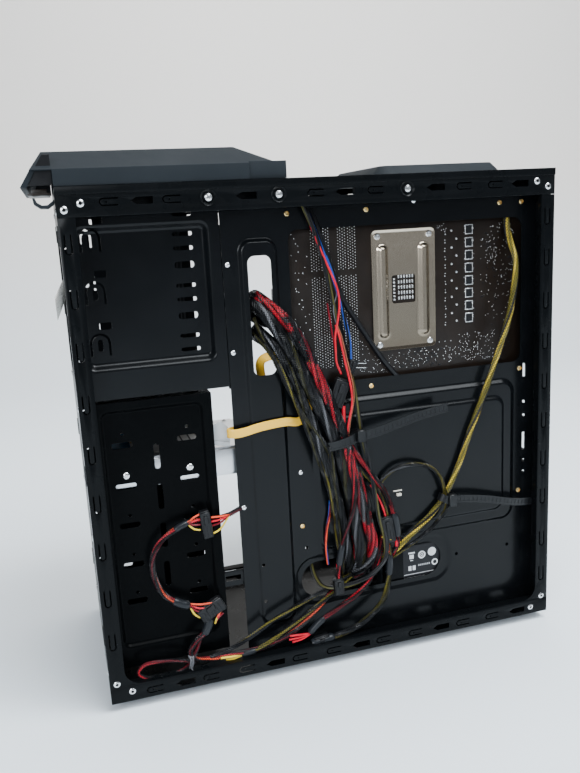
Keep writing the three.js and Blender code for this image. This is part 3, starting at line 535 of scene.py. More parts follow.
def pressed_sheet(name, span_y, span_z, face, fields, holes, material, node=None,
                  outline=None, thickness=SHEET, coarse=12.0):
    """A sheet facing +X, with smoothly pressed fields and holes cut through it.

    It replaces the CAD node that is named, if there is one.
    """
    edges = {"y": [], "z": []}
    for field in fields:
        reach = field["slope"] + 0.45 * field["corner"]
        for key in ("y", "z"):
            edges[key].append((field[key][0], reach))
            edges[key].append((field[key][1], -reach))
    ys = grid_lines(span_y, edges["y"], coarse)
    zs = grid_lines(span_z, edges["z"], coarse)
    points = []
    for z in zs:
        for y in ys:
            rise = sum(f["depth"] * smooth(depth_inside(y, z, f) / f["slope"]) for f in fields)
            points.append((face + rise, y, z))
    back = [(x - thickness, y, z) for x, y, z in points]
    columns, rows = len(ys), len(zs)
    total = columns * rows
    faces = []
    for row in range(rows - 1):
        for column in range(columns - 1):
            a = row * columns + column
            quad = [a, a + 1, a + 1 + columns, a + columns]
            faces.append(quad)
            faces.append([total + i for i in reversed(quad)])
    border = list(range(columns - 1))
    border += [row * columns + columns - 1 for row in range(rows - 1)]
    border += [(rows - 1) * columns + i for i in range(columns - 1, 0, -1)]
    border += [row * columns for row in range(rows - 1, 0, -1)]
    for a, b in zip(border, border[1:] + border[:1]):
        faces.append([b, a, total + a, total + b])
    sheet = Solids().add(points + back, faces)
    piece = new_object(name, mesh_of(name, sheet))
    if holes.points:
        cut_by(piece, holes)
    if outline is not None:
        cut_by(piece, Solids().prism(outline, "x", face - 30, face + 30), "INTERSECT")
    dress(piece, material, sharp=PRESSED_ANGLE)
    if node:
        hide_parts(node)


# ---------------------------------------------------------------- cords

ROUTE_STEP = 2.2
STRAP_STEP = 1.1
TWIST_LENGTH = 105.0


def curve_through(points, step=ROUTE_STEP):
    """Evenly spaced points on the centripetal Catmull-Rom curve through given points."""
    given = [np.array(p, float) for p in points]
    ends = [2 * given[0] - given[1]] + given + [2 * given[-1] - given[-2]]
    dense = []
    for a, b, c, d in zip(ends, ends[1:], ends[2:], ends[3:]):
        before, here, after = (max(1e-4, np.linalg.norm(q - p) ** 0.5) for p,
                               q in ((a, b), (b, c), (c, d)))
        leave = ((b - a) / before - (c - a) / (before + here) + (c - b) / here) * here
        arrive = ((c - b) / here - (d - b) / (here + after) + (d - c) / after) * here
        for t in np.linspace(0, 1, 24, endpoint=False):
            s = t * t
            dense.append((2 * s * t - 3 * s + 1) * b + (s * t - 2 * s + t) * leave
                         + (3 * s - 2 * s * t) * c + (s * t - s) * arrive)
    dense.append(given[-1])
    dense = np.array(dense)
    run = np.concatenate([[0], np.cumsum(np.linalg.norm(np.diff(dense, axis=0), axis=1))])
    count = max(4, int(round(run[-1] / step)))
    wanted = np.linspace(0, run[-1], count + 1)
    return np.stack([np.interp(wanted, run, dense[:, k]) for k in range(3)], axis=1), run[-1]


def framed(places, flat=True):
    """The line's points with two directions across it. With flat, the second stays near the X axis."""
    tangents = np.gradient(places, axis=0)
    tangents /= np.linalg.norm(tangents, axis=1)[:, None]
    across = np.zeros_like(places)
    last = None
    for i, tangent in enumerate(tangents):
        guess = np.cross(tangent, (1.0, 0.0, 0.0))
        strength = np.linalg.norm(guess)
        if last is None:
            last = guess / strength if strength > 0.1 else np.cross(tangent, (0.0, 0.0, 1.0))
        carried = last - tangent * np.dot(last, tangent)
        carried /= np.linalg.norm(carried)
        if flat and strength > 0.2:
            guess = guess / strength
            if np.dot(guess, carried) < 0:
                guess = -guess
            carried = carried * 0.6 + guess * 0.4
            carried -= tangent * np.dot(carried, tangent)
            carried /= np.linalg.norm(carried)
        across[i] = carried
        last = carried
    return places, across, np.cross(tangents, across)


def bent(points, step=1.2):
    """A framed line through a few points."""
    return framed(curve_through(points, step)[0], flat=False)


def offset_line(line, shift_across, shift_along):
    """A line beside another, moved along its two directions."""
    places, across, along = line
    moved = places + across * np.asarray(shift_across)[:, None] + along * np.asarray(shift_along)[:,
                                                                                                  None]
    return framed(moved, flat=False)


BLACK_WIRE = (0.0040, 0.0040, 0.0050)
RED_WIRE = (0.62, 0.012, 0.030)
DEEP_RED = (0.16, 0.006, 0.014)
ORANGE_WIRE = (0.85, 0.085, 0.030)
YELLOW_WIRE = (0.78, 0.56, 0.050)
OLIVE_WIRE = (0.21, 0.175, 0.022)
DARK_OLIVE = (0.060, 0.055, 0.012)
BLUE_WIRE = (0.016, 0.060, 0.30)
BROWN_WIRE = (0.24, 0.085, 0.045)
GREY_WIRE = (0.13, 0.13, 0.14)
WHITE_WIRE = (0.55, 0.55, 0.56)


def strand(aside, forward, radius, colours, wire=1.1, threads=8, patch=None):
    """One sleeve of a bundle. patch is a colour that shows through its net here and there."""
    return {"aside": aside, "forward": forward, "radius": radius, "colours": colours,
            "wire": wire, "threads": threads, "patch": patch}


def add_wires(solids, line, part, run, phase):
    """Insulated wires laid up in a slow twist inside their sleeve."""
    colours = part["colours"]
    lay = max(0.0, part["radius"] - 0.35 - part["wire"])
    if len(colours) == 1:
        lay = 0.0
    for i, colour in enumerate(colours):
        turn = 2 * math.pi * (i / len(colours) + run / TWIST_LENGTH) + phase
        wander = 1.0 + 0.08 * np.sin(run / 17.0 + 2.1 * i)
        wire = offset_line(line, lay * wander * np.cos(turn), lay * wander * np.sin(turn))
        tint = np.tile(colour, (len(run), 1))
        if part["patch"] is not None:
            show = np.sin(run / 12.0 + phase) + 0.5 * np.sin(run / 4.3 + 1.3 * i) > 0.25
            tint[show] = part["patch"]
        solids.tube(wire, part["wire"], 6, tint)


def add_net(solids, line, part, run, thickness=0.27):
    """The open braid of a sleeve: threads wound both ways round the line."""
    places, across, along = line
    pitch = 5.2 * part["radius"]
    for way in (-1, 1):
        reach = part["radius"] - 0.2 + 0.3 * thickness * way
        for i in range(part["threads"]):
            turn = 2 * math.pi * (i / part["threads"] + way * run / pitch)
            ring = across * np.cos(turn)[:, None] + along * np.sin(turn)[:, None]
            solids.tube(framed(places + ring * reach, flat=False), thickness, 3)


def nearest(places, spot):
    """The index of the line's point nearest to a (y, z) spot."""
    return int(np.argmin(np.hypot(places[:, 1] - spot[0], places[:, 2] - spot[1])))


def add_shrink(solids, places, start, end, radius):
    """A shrink tube over the line between two (y, z) spots."""
    first, last = sorted((nearest(places, start), nearest(places, end)))
    last = max(last, first + 3)
    piece = places[first:last + 1]
    swell = np.full(len(piece), float(radius))
    swell[0] *= 0.72
    swell[-1] *= 0.78
    solids.tube(framed(piece), swell, 12)


def pinched(*waists):
    """A squeeze that narrows a bundle at (place along it, share kept, reach) waists."""
    def narrow(run):
        kept = np.ones_like(run)
        for place, share, reach in waists:
            kept *= 1.0 - (1.0 - share) * np.exp(-((run - place * run[-1]) / reach) ** 2)
        return kept
    return narrow


def lay_cord(name, points, strands, slot, diameter, node=None, shrinks=(), extra=(), stiffness="medium",
             squeeze=pinched()):
    """A cord of sleeved strands side by side, with its net and shrink tubes, along its route."""
    places, length = curve_through(points)
    line = framed(places)
    run = np.linspace(0, length, len(places))
    narrow = squeeze(run)
    wires, net, tubes = Solids(), Solids(), Solids()
    for k, part in enumerate(strands):
        sway = 1.0 + 0.10 * np.sin(run / 41.0 + 1.7 * k)
        middle = offset_line(line, part["aside"] * narrow * sway, part["forward"] * narrow * (2 - sway))
        add_wires(wires, middle, part, run, 0.9 * k)
        if part["threads"]:
            add_net(net, middle, part, run)
    for start, end, radius in shrinks:
        add_shrink(tubes, places, start, end, radius)
    core = make(name, wires, WIRES)
    others = list(extra)
    if net.points:
        others.append(make(name + "_net", net, NET))
    if tubes.points:
        others.append(make(name + "_shrink", tubes, SHRINK))
    if node:
        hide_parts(node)


MAIN_ROUTE = [
    (-47, 269, 60), (-46.9, 266.5, 60), (-38, 257, 63), (-24, 251, 72), (-13.5, 247.5, 86),
    (-8, 245, 103), (-7.2, 242, 120), (-7.2, 238, 147), (-7.2, 231, 177), (-7.2, 223, 207),
    (-7.2, 207, 246), (-7.2, 193, 279), (-7.8, 181, 305), (-10, 168, 324), (-20.5, 159.6, 334),
    (-36, 156, 337), (-52, 158, 332), (-63, 167, 324), (-67, 178, 318), (-62, 184, 316.5),
    (-54, 184, 316.5),
]
SPARE_ROUTE = [
    (-47, 269.2, 42), (-46.6, 265, 42), (-38, 243, 54), (-24, 229, 70), (-13, 225, 87),
    (-7.4, 223, 104), (-7, 216, 151), (-7, 202, 201), (-7, 187, 248), (-7, 174, 280),
    (-9, 163, 300), (-20.5, 157, 308), (-34, 156, 311), (-50, 160, 305), (-60, 172, 296),
    (-62, 190, 286),
]
CPU_ROUTE = [
    (-40, 269.4, 79), (-39.6, 266.5, 79), (-33, 263.5, 79), (-22, 266, 80), (-13.5, 272, 86),
    (-11, 286, 99), (-11, 322, 129), (-11, 341, 161), (-11, 354, 194), (-11, 370, 231),
    (-11, 386, 273), (-11, 397, 305), (-11, 403, 340), (-13, 404, 358), (-19.5, 403, 372),
    (-24.2, 402, 386), (-24.2, 400.5, 402), (-24.4, 397, 416), (-28, 391, 424), (-33, 385, 423),
    (-34, 383, 417.5), (-34, 383, 414.8),
]
SATA_ROUTE = [
    (-50, 159.6, 190), (-50, 168, 192), (-44, 173, 202), (-34, 168, 213), (-27, 152, 220),
    (-25, 138, 223), (-24, 127, 224), (-18, 122.5, 224), (-13.6, 128, 224), (-13.4, 136, 224.5),
    (-13.8, 150, 227), (-14, 165, 228.5), (-14.4, 176, 228.8), (-16.8, 187, 227), (-17.6, 194, 231),
    (-17.6, 198, 240), (-17.6, 203, 252), (-17.6, 203, 266), (-17.6, 196, 280), (-15.5, 185, 288),
    (-14, 174, 290), (-20.5, 161, 287), (-28, 158, 281), (-33, 160, 266), (-33.5, 165, 236),
    (-33.5, 168, 200), (-33.5, 171.5, 183), (-33.5, 175.4, 180),
]
PANEL_ROUTE = [
    (-100, 100, 440.1), (-100, 100.4, 437), (-99, 108, 430), (-80, 140, 429), (-50, 170, 428),
    (-28, 188, 427), (-18, 196, 424), (-14, 201, 412), (-14, 207, 398), (-14.5, 215, 372),
    (-15, 221, 346), (-15.5, 227, 319), (-16, 233, 292), (-16, 237, 269), (-12, 240, 245),
    (-7, 243, 215), (-5, 250, 175), (-3.4, 256, 130), (-3.2, 262, 105), (-3, 261, 88),
    (-3, 250, 76), (-3.4, 236, 70), (-4.6, 222, 67), (-7, 211, 66), (-14, 202, 66),
    (-24, 197, 74), (-31, 195, 92), (-33, 195, 113),
]
CHAIN_ROUTE = [
    (-62, 269.4, 30), (-61.8, 266, 30), (-51, 254, 35), (-35, 236, 50), (-24, 221, 60),
    (-13, 207, 58), (-9, 194, 47), (-9, 176, 33), (-9, 158, 24), (-9, 136, 19),
    (-9, 110, 18.6), (-9, 90, 18.8), (-9, 77, 22), (-9, 73, 30), (-9, 79, 39),
    (-10, 88, 46), (-11, 92, 56), (-11, 89, 66), (-11, 79, 72), (-11, 68, 77),
    (-11, 55, 87), (-11, 48, 103), (-11, 47, 122), (-11, 55, 137), (-12, 69, 146),
    (-14, 82, 150), (-15, 96, 151.5),
]

RED_MIX = [DEEP_RED, BLACK_WIRE, RED_WIRE, BLACK_WIRE]
OLIVE_MIX = [OLIVE_WIRE, BLACK_WIRE, DARK_OLIVE, BLACK_WIRE]
DARK_MIX = [BLACK_WIRE, DARK_OLIVE, BLACK_WIRE, BLACK_WIRE, GREY_WIRE, BLACK_WIRE]

# Name, sleeve radius, wire colours, wire radius, net threads, patch, route, shrink tubes.
LEADS = [
    ("olive_branch", 3.0, OLIVE_MIX, 1.2, 6, None,
     [(-6, 211, 204), (-7, 217, 159), (-9, 221, 128), (-13, 228, 100), (-22, 238, 76)], []),
    ("olive_branch_left", 2.6, OLIVE_MIX, 1.1, 6, None,
     [(-8, 210, 202), (-10, 213, 161), (-11, 215, 126), (-14, 221, 97), (-22, 232, 71)], []),
    ("thin_trio", 1.6, [BLUE_WIRE, ORANGE_WIRE, DEEP_RED], 0.7, 0, None,
     [(-12, 212, 150), (-13, 211, 136), (-14, 208, 121), (-15, 207, 103), (-20, 210, 84)], []),
    ("mesh_branch", 5.6, [BLACK_WIRE, GREY_WIRE, DEEP_RED, BLACK_WIRE, GREY_WIRE, BLACK_WIRE], 1.5, 10,
     RED_WIRE,
     [(-5, 227, 202), (-5, 235, 164), (-6, 243, 133), (-7, 250, 108), (-9, 250, 92), (-14, 243, 78),
      (-23, 236, 68)], []),
    ("mesh_branch_under", 4.8, [BLACK_WIRE, DEEP_RED, BLACK_WIRE, GREY_WIRE], 1.5, 8, RED_WIRE,
     [(-9, 224, 199), (-10, 229, 160), (-11, 233, 132), (-12, 236, 108), (-15, 238, 88),
      (-23, 239, 70)], []),
    ("red_branch", 2.3, RED_MIX, 0.95, 6, None,
     [(-2, 227, 206), (-1, 232, 174), (-1, 231, 146), (-2, 224, 124), (-2, 218, 107), (-3, 215, 90),
      (-4, 214, 72)],
     [((219, 110), (215, 90), 3.0)]),
    ("right_branch", 2.5, RED_MIX, 1.0, 7, RED_WIRE,
     [(-4, 230, 204), (-4, 248, 175), (-5, 264, 152), (-6, 273, 127), (-7, 276, 108), (-9, 276, 96),
      (-12, 271, 85), (-22, 262, 76)], [((272, 130), (276, 106), 3.6)]),
    ("right_branch_olive", 2.0, [OLIVE_WIRE, BLACK_WIRE, OLIVE_WIRE], 0.9, 5, None,
     [(-6, 229, 198), (-7, 242, 176), (-8, 257, 156), (-9, 267, 128), (-9, 268, 112)], []),
    ("bare_red_wire", 0.95, [RED_WIRE], 0.95, 0, None,
     [(-6, 250, 161), (-6, 257, 148), (-7, 263, 133), (-9, 266, 121)], []),
    ("lower_branch", 3.0, [BLACK_WIRE, DARK_OLIVE, OLIVE_WIRE, BLACK_WIRE], 1.2, 7, None,
     [(-8, 266, 104), (-7, 267, 86), (-7, 266, 67), (-7, 261, 46), (-7, 251, 34), (-7, 230, 21),
      (-7, 204, 15.5),
      (-7, 186, 14)], [((267, 88), (266, 68), 3.6), ((208, 16), (186, 14), 4.4)]),
    ("dark_red_branch", 2.7, [DEEP_RED, BLACK_WIRE, RED_WIRE, BLACK_WIRE, DEEP_RED], 1.0, 6, None,
     [(-10, 262, 108), (-9, 257, 87), (-8, 249, 70), (-8, 233, 54), (-8, 210, 42), (-8, 197, 35),
      (-9, 185, 24)],
     [((200, 37), (186, 24), 3.3)]),
    ("bottom_lead", 2.3, [OLIVE_WIRE, BLACK_WIRE, BLACK_WIRE], 1.0, 5, None,
     [(-23, 238, 71), (-13, 214, 66), (-8, 183, 58), (-8, 149, 44), (-9, 128, 32), (-10, 107, 23),
      (-9, 90, 20)], []),
    ("bottom_lead_under", 2.3, [OLIVE_WIRE, BLACK_WIRE, OLIVE_WIRE], 1.0, 5, None,
     [(-23, 238, 69), (-12, 216, 61), (-8, 189, 48), (-8, 154, 28), (-8, 132, 18.5), (-9, 119, 16.5)],
     [((132, 19), (119, 16.5), 3.0)]),
    ("cpu_power_loop", 2.3, [OLIVE_WIRE, BLACK_WIRE, GREY_WIRE, OLIVE_WIRE], 0.9, 7, None,
     [(-12, 258, 154), (-10, 268, 167), (-8, 279, 173), (-7, 291, 174.5), (-7, 305, 172),
      (-7, 314, 167),
      (-8, 322, 157), (-9, 326, 146), (-10, 328, 136)], []),
    ("cpu_power_second", 2.1, [OLIVE_WIRE, BLACK_WIRE, BLACK_WIRE], 0.95, 6, None,
     [(-8, 330, 134), (-9, 327, 122), (-10, 320, 113), (-10, 311, 105), (-10, 296, 96), (-11, 281, 88),
      (-14, 271, 81), (-24, 262, 72)], []),
    ("thin_olive_lead", 2.2, [OLIVE_WIRE, BLACK_WIRE, DARK_OLIVE], 0.9, 6, None,
     [(-24, 154, 322), (-14, 157, 309), (-10, 162, 297), (-9, 168, 281), (-8, 175, 264), (-6, 189, 234),
      (-5, 201, 216), (-6, 211, 198)], []),
    ("red_top_wire", 0.95, [RED_WIRE], 0.95, 0, None,
     [(-25, 201, 422), (-15, 207, 395), (-13, 218, 366), (-11, 227, 341), (-11, 228, 328),
      (-11, 226, 315),
      (-11, 223, 301), (-11, 223, 289), (-13, 224, 278), (-16, 229, 266)], []),
    ("red_long_wire", 0.95, [RED_WIRE], 0.95, 0, None,
     [(-12, 224, 311), (-10, 226, 303), (-9, 231, 276), (-8, 235, 254), (-7, 235, 240), (-6, 231, 224),
      (-5, 228, 211)], []),
    ("brown_wire", 0.75, [BROWN_WIRE], 0.75, 0, None,
     [(-13, 226, 310), (-11, 228, 303), (-10, 233.5, 276), (-9, 237.5, 254), (-8, 237, 242),
      (-7, 233, 226), (-6, 230, 211)], []),
    ("red_short_wire", 0.8, [DEEP_RED], 0.8, 0, None,
     [(-17, 219, 330), (-13, 220, 311), (-12, 221, 301), (-12, 223, 290)], []),
    ("blue_wires", 2.0, [BLUE_WIRE, BLUE_WIRE, BLACK_WIRE], 1.0, 0, None,
     [(-25, 203, 422), (-17, 211, 392), (-14, 222, 360), (-13, 230, 331), (-13, 234, 312),
      (-13, 237, 295), (-14, 238, 279)], []),
    ("black_thick_lead", 2.7, [BLACK_WIRE], 2.6, 0, None,
     [(-25, 206, 422), (-17, 215, 388), (-16, 225, 357), (-16, 233, 333), (-17, 244, 315),
      (-18, 255, 298),
      (-20, 272, 273), (-23, 287, 256), (-25, 294, 251)], []),
    ("pale_thin_wire", 0.5, [GREY_WIRE], 0.5, 0, None,
     [(-17, 217, 376), (-15, 224, 353), (-14, 227, 339), (-14, 223.5, 326), (-14, 224.5, 316),
      (-15, 228, 306)], []),
    ("connector_wires", 1.7, [YELLOW_WIRE, WHITE_WIRE, BLACK_WIRE], 0.75, 0, None,
     [(-13, 213.5, 247), (-10, 216, 239), (-8, 220, 229), (-7, 223.5, 219), (-6, 227, 206)],
     [((222, 222), (227, 206), 3.3)]),
    ("chain_loop", 1.9, [RED_WIRE, BLACK_WIRE, DEEP_RED], 0.85, 5, None,
     [(-9, 84, 44), (-8, 78, 30), (-7, 68, 17), (-6, 49, 12.5), (-6, 31, 15.5), (-6, 25.5, 21),
      (-7, 31, 27),
      (-7, 50, 27), (-7, 66, 23.5), (-8, 76, 19)], []),
    ("chain_tail", 2.3, [BLACK_WIRE, BLACK_WIRE, DEEP_RED], 1.0, 5, None,
     [(-14, 110, 150), (-15, 118, 151), (-20, 128, 152.5), (-30, 145, 154)], []),
]


def all_leads():
    """The loose branches and single wires around the main cords."""
    for name, radius, colours, wire, threads, patch, route, shrinks in LEADS:
        part = strand(0.0, 0.0, radius, colours, wire, threads, patch)
        lay_cord(name, route, [part], "lead_wires", 2 * radius, shrinks=shrinks)


def flat_cable(name, points, width, thickness, material, node):
    """A flat cable whose broad side stays square to the X axis where it can."""
    places, length = curve_through(points)
    line = framed(places)
    ribs = [-0.5, -0.38, -0.28, -0.10, 0.10, 0.28, 0.38, 0.5]
    swell = [0.3, 0.85, 1.0, 0.72, 0.72, 1.0, 0.85, 0.3]
    section = [(u * width, s * thickness / 2) for u, s in zip(ribs, swell)]
    section += [(u * width, -s * thickness / 2) for u, s in zip(reversed(ribs), reversed(swell))]
    rings = [here + side * a + up * b for here, side, up in zip(*line) for a, b in section]
    piece = make(name, Solids().skin(rings, len(section)), material, sharp=PRESSED_ANGLE)
    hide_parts(node)


def nylon_plug(solids, middle, size, turn):
    """A connector housing with a stepped mouth and ribs, turned about the X axis."""
    spin = Matrix.Rotation(math.radians(turn), 3, "X")
    across, long, tall = size

    def block(dx, dy, dz, w, l, h, edge=0.3):
        place = Vector(middle) + spin @ Vector((dx, dy, dz))
        solids.box(around(place.x, w / 2), around(place.y, l / 2),
                   around(place.z, h / 2), edge, spin)

    block(0, 0, 0, across, long, tall, 0.6)
    block(0, 0, tall / 2 + 0.6, across * 0.7, long * 0.9, 1.4)
    ribs = max(3, round(long / 3.2))
    for i in range(ribs):
        block(across / 2 + 0.15, (i + 0.5) / ribs * long - long / 2, -tall * 0.08, 0.7, 0.8, tall * 0.7,
              0.15)
    block(across / 2 + 0.6, 0, tall * 0.2, 1.6, long * 0.32, tall * 0.34)


def add_fan_out(solids, start, ends, colours, radius=0.85):
    """Loose wires that spread from a sleeve's end to a connector."""
    for end, colour in zip(ends, colours):
        middle = [(a + b) / 2 for a, b in zip(start, end)]
        middle[0] += 1.2
        middle[2] += (end[2] - start[2]) * 0.22
        solids.tube(bent([start, middle, end]), radius, 7, colour)


def chain_fittings():
    """The plugs of the drive power chain, and the loose wires beside them."""
    plugs, fans = Solids(), Solids()
    nylon_plug(plugs, (-13, 96.5, 146), (8, 9, 24), 6)
    nylon_plug(plugs, (-11, 95, 66), (7, 24, 13), 27)
    reds = [ORANGE_WIRE, RED_WIRE, DEEP_RED, YELLOW_WIRE]
    add_fan_out(fans, (-14, 80, 149), [(-12, 93, 157), (-12, 92, 152), (-12, 91.5, 147),
                                       (-12, 91, 142)], reds)
    add_fan_out(fans, (-14, 118, 151), [(-12, 101, 152), (-12, 100.5, 148), (-12, 100, 144),
                                        (-12, 99.5, 136)], reds)
    add_fan_out(fans, (-11, 75, 75), [(-9, 96, 73), (-9, 90, 69), (-9, 86, 66), (-9, 84, 61)], reds)
    add_fan_out(fans, (-10, 97, 52), [(-9, 104, 64), (-9, 102, 61), (-9, 105, 61), (-9, 100, 59)], reds)
    add_fan_out(fans, (-8, 119, 16.5), [(-6, 99, 19), (-8, 104, 15)], [YELLOW_WIRE, YELLOW_WIRE], 1.0)
    return [make("chain_plugs", plugs, CONNECTOR),
            make("chain_plug_wires", fans, WIRES)]


def bundle_fittings():
    """The plugs at the ends of the main bundle's branches, with their loose wires and pins."""
    plugs, fans, pins = Solids(), Solids(), Solids()
    nylon_plug(plugs, (-8, 266, 114), (8, 12, 25), 8)
    nylon_plug(plugs, (-4, 214, 68), (7, 9, 14), 2)
    nylon_plug(plugs, (-14, 225, 249), (7, 14, 25), -22)
    nylon_plug(plugs, (-15, 239, 272), (5, 8, 12), -30)
    nylon_plug(plugs, (-7, 196, 15), (6, 15, 8), 6)
    add_fan_out(fans, (-7, 187, 14), [(-7, 169, 10.5), (-7, 174, 10)], [YELLOW_WIRE, YELLOW_WIRE], 0.9)
    add_fan_out(fans, (-9, 186, 23), [(-6, 165, 26.5), (-6, 164, 23), (-6, 167, 20)], [RED_WIRE] * 3,
                1.0)
    add_fan_out(fans, (-7, 260, 108), [(-5, 272, 104)], [YELLOW_WIRE], 0.8)
    add_fan_out(fans, (-13, 229, 237), [(-8, 225, 216)], [RED_WIRE], 1.6)
    add_fan_out(fans, (-9, 275, 108), [(-8, 275, 96)], [RED_WIRE], 1.5)
    add_fan_out(fans, (-5, 214, 90), [(-4, 214, 76)], [RED_WIRE], 1.3)
    add_fan_out(fans, (-7, 267, 100), [(-7, 265, 88)], [ORANGE_WIRE], 0.9)
    for z in (275, 271):
        pins.tube(framed(np.array([(-13.0, 241, z), (-13.0, 247, z - 0.8), (-13.0, 252, z - 1.4)]),
                         False), 0.45, 6)
    return [make("bundle_plugs", plugs, CONNECTOR),
            make("bundle_plug_wires", fans, WIRES),
            make("bundle_plug_pins", pins, SCREW)]


def add_strap(solids, points, facing, width=8.2, thick=0.9, pitch=4.4):
    """A tie's ladder strap: two side rails and rungs on a thin web. facing is its broad side."""
    places, length = curve_through(points, STRAP_STEP)
    tangents = np.gradient(places, axis=0)
    tangents /= np.linalg.norm(tangents, axis=1)[:, None]
    face = np.broadcast_to(np.asarray(facing, float), places.shape)
    face = face - tangents * (face * tangents).sum(axis=1)[:, None]
    face /= np.linalg.norm(face, axis=1)[:, None]
    side = np.cross(tangents, face)

    def bar(first, last, low, high, deep, proud):
        rows = []
        for i in range(first, last + 1):
            for a, b in ((low, deep), (high, deep), (high, proud), (low, proud)):
                rows.append(places[i] + side[i] * a + face[i] * b)
        solids.skin(rows, 4)

    half, end = width / 2, len(places) - 1
    bar(0, end, -half * 0.62, half * 0.62, -thick / 2, 0.0)
    bar(0, end, -half, -half * 0.6, -thick / 2, thick / 2)
    bar(0, end, half * 0.6, half, -thick / 2, thick / 2)
    step = max(3, round(pitch / (length / end)))
    for i in range(2, end - 2, step):
        bar(i, i + max(1, step // 3), -half * 0.61, half * 0.61, -thick * 0.2, thick * 0.42)


def full_turn(steps):
    """Angles once round, with the last on top of the first."""
    return [2 * math.pi * i / steps for i in range(steps + 1)]


def ring_facing(points, middle):
    """The directions from a middle out to each point."""
    away = np.array([np.array(p, float) - np.array(middle, float) for p in points])
    return away / np.linalg.norm(away, axis=1)[:, None]


def bundle_tie():
    """The tie round the main bundle, and the long tail that points to the rear."""
    straps = Solids()
    middle = (-8.0, 225.5, 207.0)
    loop = []
    for turn in full_turn(20):
        a, b = 16.5 * math.cos(turn), 8.6 * math.sin(turn)
        loop.append((middle[0] + b, middle[1] + a * 0.97, middle[2] + a * 0.24))
    add_strap(straps, loop, ring_facing(curve_through(loop, STRAP_STEP)[0], middle))
    straps.box((-3, 2.6), (236, 244), (205.5, 216.5), 0.8)
    add_strap(straps, [(0.4, 243, 211), (0.6, 258, 213.4), (0.2, 276, 217.5), (-0.6, 298, 222.2),
                       (-1.6, 327, 226.5)],
              (1, 0, 0))
    return make("bundle_tie", straps, STRAP)


def power_tie():
    """The tie that holds the processor's power lead to the tray, with its tail."""
    straps = Solids()
    middle = (-10.5, 328.0, 134.5)
    loop = []
    for turn in full_turn(16):
        a, b = math.cos(turn), math.sin(turn)
        loop.append((middle[0] + 5.4 * b, middle[1] + 6.4 * a, middle[2] - 2.8 * a))
    add_strap(straps, loop, ring_facing(curve_through(loop, STRAP_STEP)[0], middle), 7.2)
    straps.box((-9, -2.4), (329, 337), (127, 139.5), 0.8)
    add_strap(straps, [(-5, 335, 134), (-4, 352, 132.5), (-4, 372, 128.5), (-5, 398, 121.5),
                       (-9, 424, 116.5)], (1, 0, 0), 7.2)
    return make("power_tie", straps, STRAP)


def loop_tie():
    """The twisted wire tie that gathers the drive lead's spare loop."""
    wrap = Solids()
    for k in range(3):
        points = []
        for turn in full_turn(12):
            a, b = math.cos(turn), math.sin(turn)
            points.append((-8 + 4.2 * b, 71 + k * 1.3 + 1.0 * a, 20.5 + 6.2 * a))
        wrap.tube(bent(points, 1.0), 0.55, 6, GREY_WIRE)
    for end in ((-4, 70, 29.5), (-3, 76, 12)):
        knee = (-3, 72, 25 if end[2] > 20 else 16)
        wrap.tube(bent([(-4, 72.5, 21), knee, end], 1.0), 0.5, 6, GREY_WIRE)
    return make("loop_tie", wrap, WIRES)


def all_cords():
    """The six cords that stand for CAD nodes."""
    lay_cord("main_harness_bundle", MAIN_ROUTE, [
        strand(-6.2, 0.0, 5.7, DARK_MIX, 1.7, 13),
        strand(5.6, 0.4, 5.4, RED_MIX + [BLACK_WIRE], 1.5, 11, RED_WIRE),
        strand(0.0, 3.6, 4.2, DARK_MIX, 1.3, 9),
    ], "cable_sleeve", 20, "main_harness", extra=[*bundle_fittings(), bundle_tie()],
        squeeze=pinched((0.44, 0.80, 40), (0.80, 0.60, 26)), stiffness="stiff")
    lay_cord("spare_harness_bundle", SPARE_ROUTE, [
        strand(2.4, 0.4, 4.0, DARK_MIX, 1.2, 9),
        strand(-3.8, 0.0, 2.7, OLIVE_MIX, 1.0, 7),
    ], "cable_sleeve", 12, "spare_harness", squeeze=pinched((0.45, 0.8, 40)))
    eps = [YELLOW_WIRE, OLIVE_WIRE, OLIVE_WIRE, BLACK_WIRE, YELLOW_WIRE, OLIVE_WIRE]
    lay_cord("cpu_power_bundle", CPU_ROUTE, [strand(0.0, 0.0, 3.2, eps, 1.1, 6)],
             "cable_sleeve", 6, "cpu_power_lead", extra=[power_tie()])
    lay_cord("front_panel_bundle", PANEL_ROUTE,
             [strand(0.0, 0.0, 2.6, [BLACK_WIRE, BLACK_WIRE, DARK_OLIVE, BLACK_WIRE], 1.0, 0)],
             "lead_wires", 5.2, "front_panel_leads", stiffness="limp")
    chain = [RED_WIRE, BLACK_WIRE, DEEP_RED, BLACK_WIRE, ORANGE_WIRE]
    lay_cord("drive_power_bundle", CHAIN_ROUTE, [strand(0.0, 0.0, 2.7, chain, 1.0, 7)],
             "cable_sleeve", 5.6, "drive_power_chain", extra=[*chain_fittings(), loop_tie()],
             shrinks=[((68, 144.5), (80, 149), 2.9), ((62, 80), (76, 74), 3.9),
                      ((96, 57), (86, 45), 4.1)])
    flat_cable("sata_cable", SATA_ROUTE, 7.8, 1.8, YELLOW, "sata_data_cable")


all_cords()
all_leads()


# ---------------------------------------------------------------- steel shell

